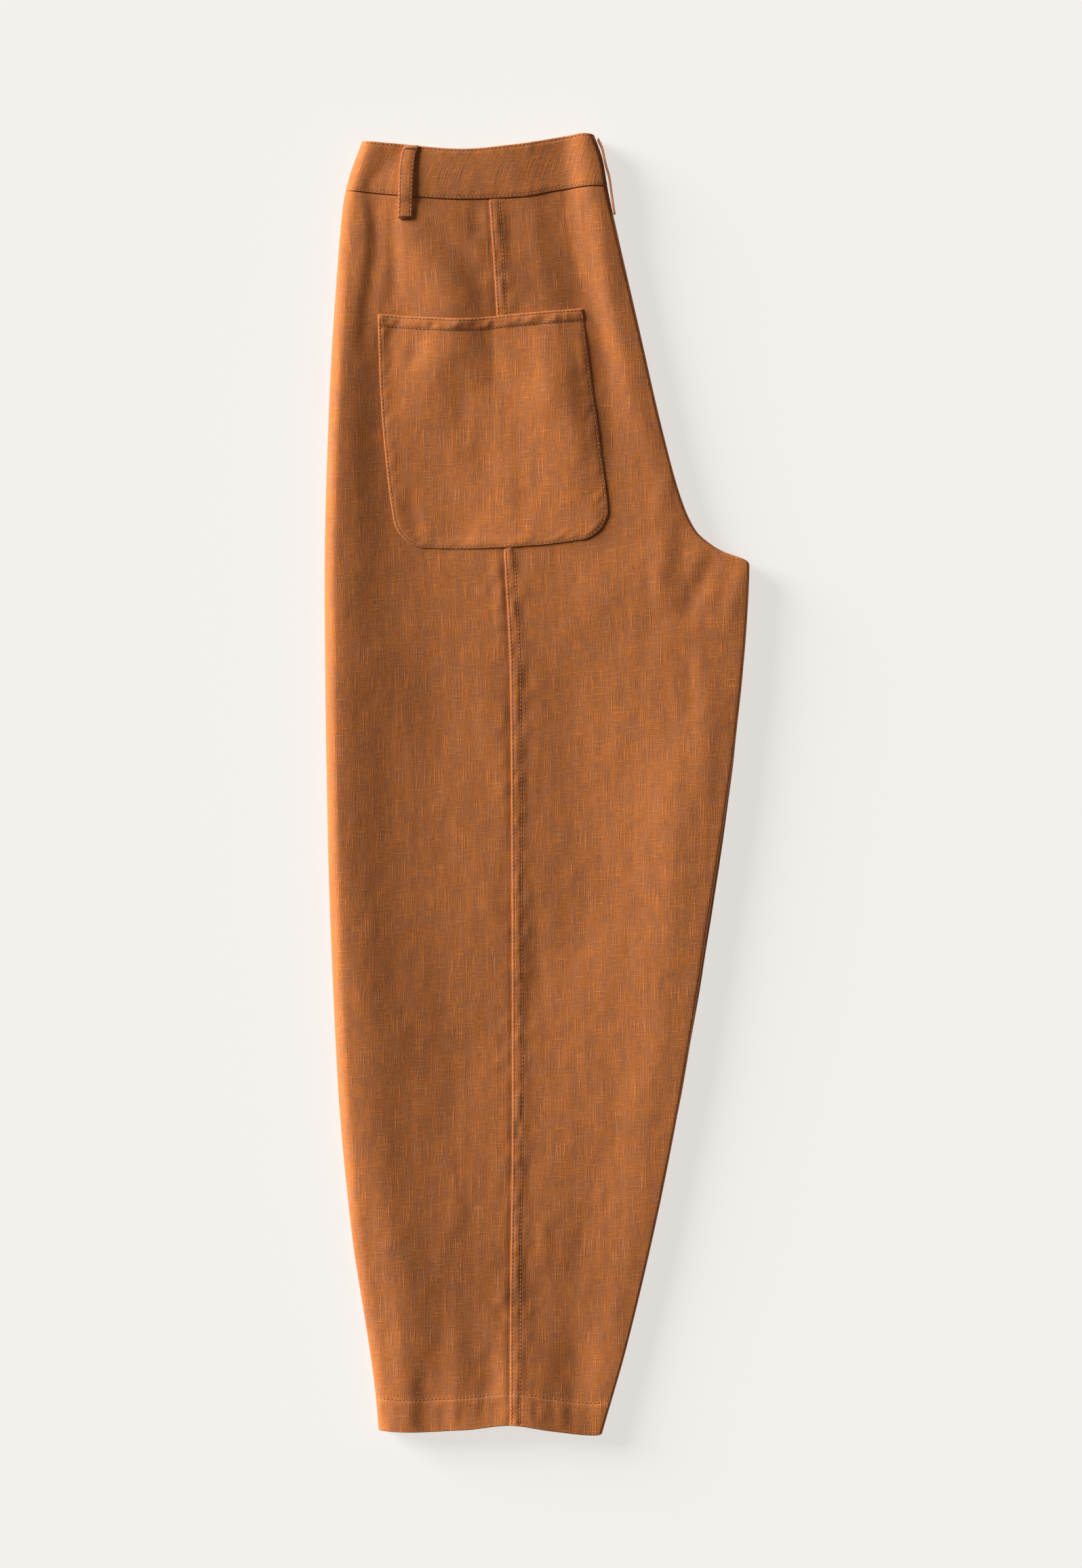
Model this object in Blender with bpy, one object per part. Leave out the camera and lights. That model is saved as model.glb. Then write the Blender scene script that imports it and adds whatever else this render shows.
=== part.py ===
"""Barrel leg trousers, folded in half lengthwise and laid flat with one back leg on top.

Run with: blender --background --python part.py
Axes: +X towards the crotch, +Y towards the waist, +Z up from the surface that the trousers lie on.
Lengths are in millimetres here, and each mesh is made in metres. "down" is the distance from the
highest point of the waistband towards the hem.
"""

from collections import namedtuple

import bmesh
import bpy
import numpy as np

MM = 0.001

# Driving dimensions
LENGTH = 1002.75
WALL = 1.2
GAP = 0.3
BAND_EXTRA = 0.7
FOLD_Z = 7.4
LEFT_ROLL = 9.5
LEFT_LEAN = 0.12
LEFT_FALL = 0.2
RIGHT_INSET = 2.0
SEAM_STRIP_WIDTH = 8.0
SEAM_STRIP_RISE = 0.8
SEAM_STRIP_REACH = 1.2
HEM_DEPTH = 25.6
HEM_RISE = 0.5
PEEK = 2.0
PEEK_AT = 590.0
PEEK_REACH = 120.0
CROTCH_DOWN = 331.8
LEG_SHIFT = 1.0
LOWER_LEG_TOP = 4.9
LOWER_LEG_BLEND = 0.5
CROTCH_BLEND_ABOVE = 6.0
CROTCH_BLEND = 24.0

POCKET_WALL = 1.0
POCKET_HEIGHT = 178.0
POCKET_CORNER = 22.0
POCKET_HEM = 9.0
POCKET_HEM_RISE = 0.5
DRAPE_STEP = 5.0

LOOP_WIDTH = 11.2
LOOP_WALL = 1.6
LOOP_BOW = 1.6

# Mesh density
ROLL_STEPS = 4
OUTER_STEPS = 8
INNER_STEPS = 9
BAND_ROWS = 5
STATION_STEP_HIP = 24.0
STATION_STEP_LEG = 34.0
SETTLE_ROUNDS = 12
FIRST_GUESS = 500.0
SHARP_ANGLE = 50
LOOP_ROWS = 13

CLOTH_COLOUR = (0.345, 0.124, 0.037)
HIDDEN_COLOUR = (0.300, 0.105, 0.032)
CLOTH_ROUGHNESS = 0.9

Edge = namedtuple("Edge", "down x")
Line = namedtuple("Line", "x down")
Section = namedtuple(
    "Section",
    "down crest_in crest fall_x fall low_x low seam mid_x mid rise_x rise shoulder_in shoulder edge",
)
Fold = namedtuple("Fold", "x0 y0 x1 y1 bow height width")
Ply = namedtuple("Ply", "z leg_in rise_in end_in")
Level = namedtuple("Level", "wall gap")

# Skins of the cloth: outer face, inner face, and the face of the layers under it
TOP = Level(0.0, 0.0)
INSIDE = Level(WALL, 0.0)
BENEATH = Level(WALL, GAP)

# Outline of the upper leg, read along its length
LEFT_EDGE = [
    Edge(0, -132.8),
    Edge(9, -136.1),
    Edge(33, -144.7),
    Edge(54, -149.4),
    Edge(106, -154.1),
    Edge(210, -160.4),
    Edge(341, -163.8),
    Edge(524, -161.7),
    Edge(723, -154.1),
    Edge(838, -144.0),
    Edge(968, -124.9),
    Edge(1000, -122.0),
]
RIGHT_EDGE = [
    Edge(0, 43.8),
    Edge(20, 50.7),
    Edge(44, 54.9),
    Edge(75, 61.7),
    Edge(148, 78.4),
    Edge(232, 97.7),
    Edge(284, 112.3),
    Edge(306, 122.8),
    Edge(317, 135.3),
    Edge(322, 144.2),
    Edge(326, 155.7),
    Edge(329, 162.0),
    Edge(332, 163.85),
    Edge(367, 162.5),
    Edge(472, 153.1),
    Edge(639, 129.1),
    Edge(806, 98.8),
    Edge(932, 70.0),
    Edge(1000, 50.7),
]
# The back seam down the middle of the leg
BACK_SEAM = [
    Edge(50, -36.7),
    Edge(142, -30.8),
    Edge(320, -25.2),
    Edge(420, -20.4),
    Edge(560, -19.4),
    Edge(768, -18.9),
    Edge(876, -20.2),
    Edge(1000, -20.8),
]

# Lines that run across the garment
BAND_TOP = [
    Line(-135, 5.7),
    Line(-111, 7.8),
    Line(-58, 12.0),
    Line(-17, 8.4),
    Line(25, 1.6),
    Line(36, 0.0),
    Line(44, 1.0),
    Line(50, 4.0),
]
WAIST_SEAM = [
    Line(-148, 43.9),
    Line(-107, 48.1),
    Line(-60, 51.0),
    Line(-12, 48.9),
    Line(16, 43.9),
    Line(43, 40.5),
    Line(58, 40.2),
]
HEM_LINE = [
    Line(-122, 999.0),
    Line(-98, 1000.0),
    Line(-54, 998.0),
    Line(-21, 994.6),
    Line(12, 999.2),
    Line(45, 1002.8),
    Line(54, 1001.0),
]

# Cross sections of the top leg from left to right: the crest in the side fold, a place on its fall, the low
# beyond, the back seam, a place right of it, one on the next rise, the shoulder, and the right edge
SECTIONS = [
    Section(0, 10, 13.4, -92, 12.8, -72, 12.4, 13.2, -8, 12.8, 20, 11.2, 6, 14.4, 14.0),
    Section(44, 11, 14.4, -128, 13.8, -102, 15.6, 13.2, -10, 12.2, 20, 10.6, 11, 15.0, 14.4),
    Section(72, 19, 15.6, -123, 14.8, -98, 17.0, 13.9, -2, 12.0, 23, 10.4, 11, 15.0, 14.2),
    Section(101, 20, 15.8, -116, 14.8, -80, 18.0, 14.2, 2, 12.8, 29, 10.2, 14, 14.4, 13.4),
    Section(131, 12, 16.4, -113, 14.4, -66, 18.3, 14.4, 4, 13.4, 38, 10.0, 16, 13.8, 12.9),
    Section(160, 10, 17.2, -112, 13.2, -66, 16.6, 14.0, 14, 14.4, 48, 10.4, 15, 13.7, 12.8),
    Section(201, 10, 17.8, -112, 12.9, -84, 14.4, 12.7, 18, 16.0, 53, 11.0, 16, 13.8, 12.9),
    Section(251, 10, 18.0, -118, 12.8, -80, 11.5, 12.0, 30, 14.4, 59, 11.8, 14, 13.2, 12.4),
    Section(301, 10, 18.3, -112, 13.0, -62, 10.2, 11.7, 30, 13.2, 62, 12.2, 18, 13.0, 12.2),
    Section(345, 10, 18.4, -114, 13.7, -78, 11.7, 11.9, 15, 12.0, 58, 13.6, 40, 14.6, 13.4),
    Section(401, 10, 18.4, -98, 12.7, -75, 11.2, 11.6, 15, 10.8, 52, 11.6, 30, 14.4, 13.7),
    Section(451, 10, 18.2, -108, 13.2, -66, 10.3, 10.5, 26, 9.0, 66, 10.5, 22, 14.0, 13.4),
    Section(501, 10, 18.2, -108, 13.3, -75, 11.4, 10.8, 28, 8.9, 66, 10.2, 30, 14.4, 13.7),
    Section(551, 11, 18.3, -109, 13.4, -82, 11.8, 11.1, 36, 9.2, 70, 10.8, 33, 14.2, 13.6),
    Section(601, 14, 18.2, -105, 13.6, -70, 11.3, 10.6, 32, 9.2, 70, 11.1, 28, 14.0, 13.4),
    Section(651, 17, 18.2, -104, 14.3, -68, 11.2, 9.9, 8, 8.9, 60, 10.9, 24, 13.5, 13.1),
    Section(701, 20, 17.8, -98, 14.0, -56, 10.4, 9.8, 5, 9.6, 65, 10.9, 22, 12.9, 12.6),
    Section(751, 20, 17.0, -98, 14.0, -58, 10.9, 10.5, 4, 10.0, 55, 10.7, 22, 12.3, 12.1),
    Section(801, 24, 16.6, -92, 13.8, -60, 11.7, 11.0, 2, 10.3, 46, 9.9, 16, 11.8, 11.7),
    Section(851, 32, 16.0, -82, 13.6, -54, 12.0, 11.2, -2, 10.8, 38, 9.8, 12, 11.4, 11.3),
    Section(901, 36, 15.4, -72, 13.0, -44, 11.8, 11.2, 2, 10.4, 38, 9.6, 10, 11.0, 10.9),
    Section(941, 34, 15.0, -72, 13.4, -44, 12.6, 12.4, 2, 11.6, 34, 9.8, 8, 10.9, 10.8),
    Section(1000, 24, 14.2, -82, 13.4, -50, 14.4, 15.0, -9, 15.4, 30, 11.8, 8, 10.8, 10.7),
]
# Right side of the form, which rounds off the crotch, and how far the cloth rolls over at the right edge
RIGHT_FORM = [
    Edge(0, 44),
    Edge(44, 55),
    Edge(148, 78.5),
    Edge(232, 98),
    Edge(284, 116),
    Edge(320, 139),
    Edge(350, 155),
    Edge(400, 160.5),
    Edge(472, 153),
    Edge(639, 129),
    Edge(806, 99),
    Edge(932, 70),
    Edge(1000, 50.7),
]
RIGHT_ROLL = [
    Edge(0, 4.0),
    Edge(50, 3.5),
    Edge(110, 2.8),
    Edge(330, 2.2),
    Edge(1000, 2.0),
]

# Largest folds of the top layer, as lines in x and y with a sideways bow
FOLDS = [
    Fold(-124, 455, -133, 325, -2, -1.3, 7),
    Fold(-88, 430, -36, 366, 3, -1.1, 10),
    Fold(-74, 446, -8, 378, -3, 0.8, 10),
    Fold(113, 206, 109, 146, -1, -1.1, 9),
    Fold(138, 178, 115, 122, 1, -1.4, 9),
    Fold(22, -392, 32, -505, 3, -0.7, 12),
    Fold(-14, -404, -6, -505, 0, 0.8, 12),
    Fold(-34, -430, -39, -505, 0, -1.0, 9),
    Fold(-92, -440, -85, -505, 0, -0.9, 9),
]

# Folded plies at the edges of the hidden layers, from the ledge under the back panel to the floor
PLIES = [
    Ply(7.1, 0.0, 0.0, 0.6),
    Ply(6.2, 0.5, 0.1, 0.5),
    Ply(5.2, 2.6, 0.3, 1.0),
    Ply(4.6, 4.2, 0.5, 2.6),
    Ply(4.1, 2.4, 0.8, 1.2),
    Ply(2.8, 0.3, 1.5, 0.4),
    Ply(1.4, 0.7, 2.8, 0.6),
    Ply(0.0, 3.2, 5.0, 2.2),
]

# Patch pocket
POCKET_LEFT = [
    Edge(139, -122.4),
    Edge(175, -121.5),
    Edge(210, -119.9),
    Edge(263, -115.2),
    Edge(319, -107.5),
]
POCKET_RIGHT = [
    Edge(135, 35.0),
    Edge(187, 41.8),
    Edge(237, 48.6),
    Edge(293, 55.3),
    Edge(317, 57.0),
]
POCKET_MOUTH = [
    Line(-122, 139.5),
    Line(-84, 142.3),
    Line(-60, 143.2),
    Line(-12, 139.0),
    Line(35, 134.8),
]
POCKET_FOOT = [
    Line(-108, 319.0),
    Line(-60, 320.0),
    Line(-1, 317.4),
    Line(35, 313.0),
    Line(57, 309.0),
]

# Belt loops: centre line of the side loop, and outer face of the one at the centre back
SIDE_LOOP = [
    Edge(9.6, -96.6),
    Edge(20, -99.4),
    Edge(34, -100.6),
    Edge(66.4, -101.4),
]
CENTRE_LOOP = [
    Edge(3.5, 47.6),
    Edge(11, 51.0),
    Edge(22, 53.4),
    Edge(34, 56.6),
    Edge(47, 58.4),
    Edge(61.5, 60.6),
]
CENTRE_LOOP_BOTTOM = 2.6


def through(rows, at):
    """A smooth curve through a two-column table, which never overshoots between its rows."""
    place, value = np.array(rows, float).T
    return hermite(place, value, at)


def hermite(place, value, at):
    """Monotone cubic through the points (place, value)."""
    step = np.diff(place)
    slope = np.diff(value) / step
    tangent = np.empty_like(value)
    tangent[0], tangent[-1] = slope[0], slope[-1]
    same_way = slope[:-1] * slope[1:] > 0
    tangent[1:-1] = np.where(
        same_way, 2 * slope[:-1] * slope[1:] / np.where(same_way, slope[:-1] + slope[1:], 1), 0
    )
    at = np.asarray(at, float)
    i = np.clip(np.searchsorted(place, at) - 1, 0, len(step) - 1)
    u = (at - place[i]) / step[i]
    inside = np.clip(u, 0, 1)
    square, cube = inside**2, inside**3
    curve = (
        (2 * cube - 3 * square + 1) * value[i]
        + (cube - 2 * square + inside) * step[i] * tangent[i]
        + (3 * square - 2 * cube) * value[i + 1]
        + (cube - square) * step[i] * tangent[i + 1]
    )
    beyond = np.where(u > 1, (u - 1) * step[i] * tangent[i + 1], np.where(u < 0, u * step[i] * tangent[i], 0))
    return curve + beyond


def peek(down):
    """How far the lower leg's inseam shows past the upper one's."""
    return PEEK * np.exp(-(((down - PEEK_AT) / PEEK_REACH) ** 2))


def left_edge(down):
    return through(LEFT_EDGE, down)


def right_edge(down):
    return through(RIGHT_EDGE, down) - peek(down)


def back_seam(down):
    return through(BACK_SEAM, down)


def square_on(down):
    """Cosine of the right edge's lean, which turns a sideways distance into one square to the edge."""
    lean = (right_edge(down + 1) - right_edge(down - 1)) / 2
    return 1 / np.sqrt(1 + lean**2)


def right_roll(down):
    return through(RIGHT_ROLL, down)


def fold_relief(x, y, folds):
    """Sum of soft troughs and ridges along bowed lines."""
    total = np.zeros(np.broadcast(x, y).shape)
    for fold in folds:
        run_x, run_y = fold.x1 - fold.x0, fold.y1 - fold.y0
        length = np.hypot(run_x, run_y)
        along = ((x - fold.x0) * run_x + (y - fold.y0) * run_y) / length**2
        inside = np.clip(along, 0, 1)
        bowed = fold.bow * 4 * inside * (1 - inside)
        beside = ((x - fold.x0) * run_y - (y - fold.y0) * run_x) / length - bowed
        fade = np.clip(4 * inside * (1 - inside), 0, 1) ** 0.7
        total += fold.height * fade * np.exp(-((beside / fold.width) ** 2))
    return total


def through_each(place, value, at):
    """Monotone cubic whose points differ from place to place: the first axis runs through the points."""
    step = np.diff(place, axis=0)
    slope = np.diff(value, axis=0) / step
    tangent = np.empty_like(value)
    tangent[0], tangent[-1] = slope[0], slope[-1]
    same_way = slope[:-1] * slope[1:] > 0
    total = np.where(same_way, slope[:-1] + slope[1:], 1)
    tangent[1:-1] = np.where(same_way, 2 * slope[:-1] * slope[1:] / total, 0)
    i = (at[None] > place[1:-1]).sum(axis=0)[None]

    def pick(table, k):
        return np.take_along_axis(table, k, axis=0)[0]

    start, run = pick(place, i), pick(step, i)
    u = np.clip((at - start) / run, 0, 1)
    square, cube = u**2, u**3
    return (
        (2 * cube - 3 * square + 1) * pick(value, i)
        + (cube - 2 * square + u) * run * pick(tangent, i)
        + (3 * square - 2 * cube) * pick(value, i + 1)
        + (cube - square) * run * pick(tangent, i + 1)
    )


def section_height(x, down):
    """Top of the leg without its creases."""
    x, down = np.broadcast_arrays(np.asarray(x, float), np.asarray(down, float))
    known = np.array(SECTIONS, float)
    at = {name: hermite(known[:, 0], known[:, k], down) for k, name in enumerate(Section._fields)}
    left, right = left_edge(down), through(RIGHT_FORM, down)
    place = np.stack(
        [
            left,
            left + at["crest_in"],
            at["fall_x"],
            at["low_x"],
            back_seam(down),
            at["mid_x"],
            at["rise_x"],
            right - at["shoulder_in"],
            right - RIGHT_INSET,
        ]
    )
    value = np.stack(
        [
            at["crest"] - LEFT_FALL - LEFT_LEAN * np.maximum(at["crest_in"] - LEFT_ROLL, 0),
            at["crest"],
            at["fall"],
            at["low"],
            at["seam"],
            at["mid"],
            at["rise"],
            at["shoulder"],
            at["edge"],
        ]
    )
    return through_each(place, value, x)


def top_height(x, down):
    """Height of the top skin away from its rolled edges."""
    return section_height(x, down) + fold_relief(x, LENGTH / 2 - down, FOLDS)


def roll_angles():
    return np.linspace(0, np.pi / 2, ROLL_STEPS + 1)


def settle(column_x, first_line, last_line, share):
    """Finds x and down for each column at a share of the way from one cross line to the other."""
    down = FIRST_GUESS * share
    for _ in range(SETTLE_ROUNDS):
        x = column_x(down)
        down = (1 - share) * through(first_line, x) + share * through(last_line, x)
    return column_x(down), down


def column_place(kind, value, sunk=0.0):
    """Gives x of one column for each distance down: on a roll, in a panel or on the seam strip."""

    def on_left_roll(down):
        return left_edge(down) + sunk + LEFT_ROLL * (1 - np.cos(value))

    def on_right_roll(down):
        return right_edge(down) - (sunk + right_roll(down) * (1 - np.cos(value))) / square_on(down)

    def in_outer(down):
        start = left_edge(down) + LEFT_ROLL
        return start + value * (back_seam(down) - GAP / 2 - start)

    def on_strip(down):
        return back_seam(down) + value

    def in_inner(down):
        start = back_seam(down) + SEAM_STRIP_WIDTH * SEAM_STRIP_REACH
        return start + value * (right_edge(down) - right_roll(down) / square_on(down) - start)

    places = {
        "left": on_left_roll,
        "right": on_right_roll,
        "outer": in_outer,
        "strip": on_strip,
        "inner": in_inner,
    }
    return places[kind]


def skin(columns, first_line, last_line, shares, level=TOP, first_in=0.0, last_in=0.0):
    """Grid of x, down and z for a skin. A column is (kind, value), and either end can be moved in."""
    xs, downs, zs = [], [], []
    for kind, value in columns:
        place = column_place(kind, value)
        x, down = settle(place, first_line, last_line, np.array(shares, float))
        down[0] += first_in
        down[-1] -= last_in
        z = top_height(place(down), down) - level.wall
        if kind in ("left", "right"):
            z = FOLD_Z + (z - FOLD_Z) * np.sin(value)
        xs.append(column_place(kind, value, level.wall + level.gap)(down))
        downs.append(down)
        zs.append(z - level.gap)
    return np.array(xs), np.array(downs), np.array(zs)


def points(x, down, z):
    return np.stack([x, LENGTH / 2 - down, z], axis=-1) * MM


def material(name, colour):
    finish = bpy.data.materials.new(name)
    finish.use_nodes = True
    shader = finish.node_tree.nodes["Principled BSDF"]
    shader.inputs["Base Color"].default_value = (*colour, 1)
    shader.inputs["Roughness"].default_value = CLOTH_ROUGHNESS
    shader.inputs["Metallic"].default_value = 0
    return finish


def rim(columns, rows):
    """Grid places round the border, in order."""
    last_column, last_row = columns - 1, rows - 1
    return (
        [(i, 0) for i in range(last_column)]
        + [(last_column, j) for j in range(last_row)]
        + [(i, last_row) for i in range(last_column, 0, -1)]
        + [(0, j) for j in range(last_row, 0, -1)]
    )


def stacked_solid(name, top, loops, bottom, finish, collection):
    """A closed solid from a top grid, loops of border points below it, and a grid or flat face under them."""
    build = bmesh.new()
    columns, rows = top.shape[:2]
    border = rim(columns, rows)

    def grid(values):
        """Split the same way in every skin, so that neighbouring skins stay parallel."""
        made = [[build.verts.new(values[i, j]) for j in range(rows)] for i in range(columns)]
        for i in range(columns - 1):
            for j in range(rows - 1):
                build.faces.new((made[i][j], made[i + 1][j], made[i + 1][j + 1]))
                build.faces.new((made[i][j], made[i + 1][j + 1], made[i][j + 1]))
        return [made[i][j] for i, j in border]

    rings = [grid(top)]
    rings += [[build.verts.new(place) for place in loop] for loop in loops]
    if bottom is not None:
        rings.append(grid(bottom))
    for above, below in zip(rings, rings[1:]):
        for k in range(len(border)):
            after = (k + 1) % len(border)
            build.faces.new((above[k], above[after], below[after], below[k]))
    if bottom is None:
        build.faces.new(rings[-1])
    bmesh.ops.recalc_face_normals(build, faces=build.faces)
    mesh = bpy.data.meshes.new(name)
    build.to_mesh(mesh)
    build.free()
    mesh.shade_smooth()
    mesh.set_sharp_from_angle(angle=np.radians(SHARP_ANGLE))
    mesh.materials.append(finish)
    made = bpy.data.objects.new(name, mesh)
    collection.objects.link(made)
    return made


def leg_shares():
    """Stations from the waist seam to the hem: close together round the crotch and at the hem."""
    start, end = WAIST_SEAM[-1].down, HEM_LINE[-1].down
    hip = np.arange(start, 270, STATION_STEP_HIP)
    hook = np.array([284, 297, 306, 312, 317, 321, 324, 327, 330, 334, 342, 356])
    hem_start = end - HEM_DEPTH
    leg = np.linspace(380, hem_start - 12, int((hem_start - 380) / STATION_STEP_LEG))
    hem = np.array([hem_start - 1.2, hem_start, hem_start + 13, end])
    return (np.concatenate([hip, hook, leg, hem]) - start) / (end - start)


def outer_columns():
    rolled = [("left", a) for a in roll_angles()]
    return rolled + [("outer", f) for f in np.linspace(0, 1, OUTER_STEPS + 1)[1:]]


def inner_columns():
    strip = [("strip", GAP / 2), ("strip", SEAM_STRIP_WIDTH * 0.5), ("strip", SEAM_STRIP_WIDTH)]
    rolled = [("right", a) for a in roll_angles()[::-1]]
    return strip + [("inner", f) for f in np.linspace(0, 1, INNER_STEPS + 1)[:-1]] + rolled


def strip_rise(down, x, shares):
    """Seam strip along the back seam, and the hem turned up at the end of the leg."""
    beside = x - back_seam(down)
    strip = np.where((beside > 0) & (beside < SEAM_STRIP_WIDTH + 0.2), SEAM_STRIP_RISE, 0.0)
    strip = strip * (1 - under_pocket(x, down))
    hem_share = 1 - HEM_DEPTH / (HEM_LINE[-1].down - WAIST_SEAM[-1].down) - 1e-6
    hem = np.where(np.array(shares)[None, :] > hem_share, HEM_RISE, 0.0)
    return strip + hem


def under_pocket(x, down):
    """1 well inside the pocket's outline and 0 outside it."""
    inside_top = down - through(POCKET_MOUTH, x) - POCKET_HEM
    inside_foot = through(POCKET_FOOT, x) - down - POCKET_HEM
    return np.clip(np.minimum(inside_top, inside_foot) / 4, 0, 1)


def uprightness(columns):
    """0 where a rolled edge ends and 1 on the flat."""
    return np.array([np.sin(value) if kind in ("left", "right") else 1.0 for kind, value in columns])[:, None]


def panel(name, columns, finish, collection):
    shares = leg_shares()
    start = [line._replace(down=line.down + GAP / 2) for line in WAIST_SEAM]
    x, down, z = skin(columns, start, HEM_LINE, shares)
    raised = z + strip_rise(down, x, shares) * uprightness(columns)
    inside = skin(columns, start, HEM_LINE, shares, INSIDE)
    stacked_solid(name, points(x, down, raised), [], points(*inside), finish, collection)


def lower_leg(ply):
    """0 on the upper leg's plies and 1 on the lower leg's."""
    return np.clip((LOWER_LEG_TOP - ply.z) / LOWER_LEG_BLEND, 0, 1)


def full_columns():
    """Columns of both panels, with one on the back seam."""
    outer = outer_columns()[:-1]
    return outer + [("strip", 0.0)] + inner_columns()[1:]


def hidden_solid(name, first_line, last_line, shares, first_in, last_in, finish, collection):
    """The layers under the back panel as one solid, with its plies showing as rolls at the edges."""
    columns = full_columns()
    x, down, _ = skin(columns, first_line, last_line, shares)
    upper = skin(
        columns, first_line, last_line, shares, BENEATH, first_in * PLIES[0].end_in, last_in * PLIES[0].end_in
    )
    last_i, last_j = x.shape[0] - 1, x.shape[1] - 1
    loops = []
    for ply in PLIES:
        loop = []
        for i, j in rim(*x.shape):
            along = down[i, j]
            if j == 0:
                along += first_in * ply.end_in
            if j == last_j:
                along -= last_in * ply.end_in
            across = x[i, j]
            crotch = np.clip((along - CROTCH_DOWN + CROTCH_BLEND_ABOVE) / CROTCH_BLEND, 0, 1)
            lower = lower_leg(ply)
            if i == 0:
                across = left_edge(along) + ply.leg_in + LEG_SHIFT * lower
            elif i == last_i:
                inset = crotch * ply.leg_in + (1 - crotch) * ply.rise_in
                across = right_edge(along) - inset / square_on(along) + lower * peek(along)
            else:
                if not ROLL_STEPS < i < last_i - ROLL_STEPS:
                    across = edge_share(i, last_i, along, ply, crotch)
            loop.append((across, LENGTH / 2 - along, ply.z))
        loops.append(np.array(loop) * MM)
    stacked_solid(name, points(*upper), loops, None, finish, collection)


def edge_share(i, last_i, along, ply, crotch):
    """Spreads the end face's outer columns evenly between the plies' rolled sides and the panel."""
    lower = lower_leg(ply)
    if i <= ROLL_STEPS:
        edge = left_edge(along) + ply.leg_in + LEG_SHIFT * lower
        inner = left_edge(along) + LEFT_ROLL
        return edge + (inner - edge) * i / (ROLL_STEPS + 1)
    inset = crotch * ply.leg_in + (1 - crotch) * ply.rise_in
    edge = right_edge(along) - inset / square_on(along) + lower * peek(along)
    inner = right_edge(along) - right_roll(along) / square_on(along)
    return edge + (inner - edge) * (last_i - i) / (ROLL_STEPS + 1)


def waistband(name, finish, collection):
    end = [line._replace(down=line.down - GAP / 2) for line in WAIST_SEAM]
    shares = np.linspace(0, 1, BAND_ROWS)
    columns = full_columns()
    x, down, z = skin(columns, BAND_TOP, end, shares)
    raised = z + BAND_EXTRA * uprightness(columns)
    inside = skin(columns, BAND_TOP, end, shares, INSIDE)
    stacked_solid(name, points(x, down, raised), [], points(*inside), finish, collection)


def draped(x, down):
    """Height of a cloth that lies over the panels, clear of their highest points near by."""
    steps = (-DRAPE_STEP, 0.0, DRAPE_STEP)
    heights = [top_height(x + a, down + b) for a in steps for b in steps]
    beside = np.abs(x - back_seam(down) - SEAM_STRIP_WIDTH / 2)
    over_strip = SEAM_STRIP_RISE * np.clip((SEAM_STRIP_WIDTH / 2 + 8 - beside) / 6, 0, 1)
    return np.max(heights, axis=0) + over_strip + GAP


def pocket(name, finish, collection):
    columns = np.linspace(0, 1, 15)
    corner = POCKET_CORNER * (1 - np.cos(np.radians([90, 66, 44, 22, 0])))
    straight = [0.0, POCKET_HEM, POCKET_HEM + 1.2, 30.0, 52.0, 74.0, 96.0, 118.0, 138.0]
    rows = np.concatenate([straight, POCKET_HEIGHT - corner])
    xs, downs = np.zeros((len(columns), len(rows))), np.zeros((len(columns), len(rows)))
    for j, row in enumerate(rows):
        near_foot = max(0.0, POCKET_CORNER - (POCKET_HEIGHT - row))
        inset = POCKET_CORNER - np.sqrt(POCKET_CORNER**2 - near_foot**2)
        share = row / POCKET_HEIGHT
        x = np.linspace(-122, 35, len(columns))
        for _ in range(SETTLE_ROUNDS):
            down = (1 - share) * through(POCKET_MOUTH, x) + share * through(POCKET_FOOT, x)
            left = through(POCKET_LEFT, down) + inset
            right = through(POCKET_RIGHT, down) - inset
            x = left + columns * (right - left)
        xs[:, j], downs[:, j] = x, down
    under = draped(xs, downs)
    rise = np.where(rows[None, :] < POCKET_HEM + 0.1, POCKET_HEM_RISE, 0.0)
    stacked_solid(
        name,
        points(xs, downs, under + POCKET_WALL + rise),
        [],
        points(xs, downs, under),
        finish,
        collection,
    )


def side_loop(name, finish, collection):
    """Belt loop on the face of the waistband: both ends sewn down, its middle just proud."""
    top, foot = SIDE_LOOP[0].down, SIDE_LOOP[-1].down
    rows = np.linspace(top, foot, LOOP_ROWS)
    across = np.array([-0.5, -0.42, 0, 0.42, 0.5]) * LOOP_WIDTH
    centre = through(SIDE_LOOP, rows)
    x = centre[None, :] + across[:, None]
    down = np.broadcast_to(rows[None, :], x.shape)
    share = (rows - top) / (foot - top)
    stand = LOOP_BOW * (np.clip(4 * share * (1 - share), 0, 1) ** 0.8)
    over_band = BAND_EXTRA * np.clip((56 - rows) / 8, 0, 1)
    steps = (-4.0, 0.0, 4.0)
    bed = np.max([top_height(x + a, down + b) for a in steps for b in steps], axis=0).max(axis=0)
    under = np.broadcast_to((bed + over_band + GAP + stand)[None, :], x.shape)
    crown = np.array([-0.5, 0, 0, 0, -0.5])[:, None] + LOOP_WALL
    stacked_solid(name, points(x, down, under + crown), [], points(x, down, under), finish, collection)


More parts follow.
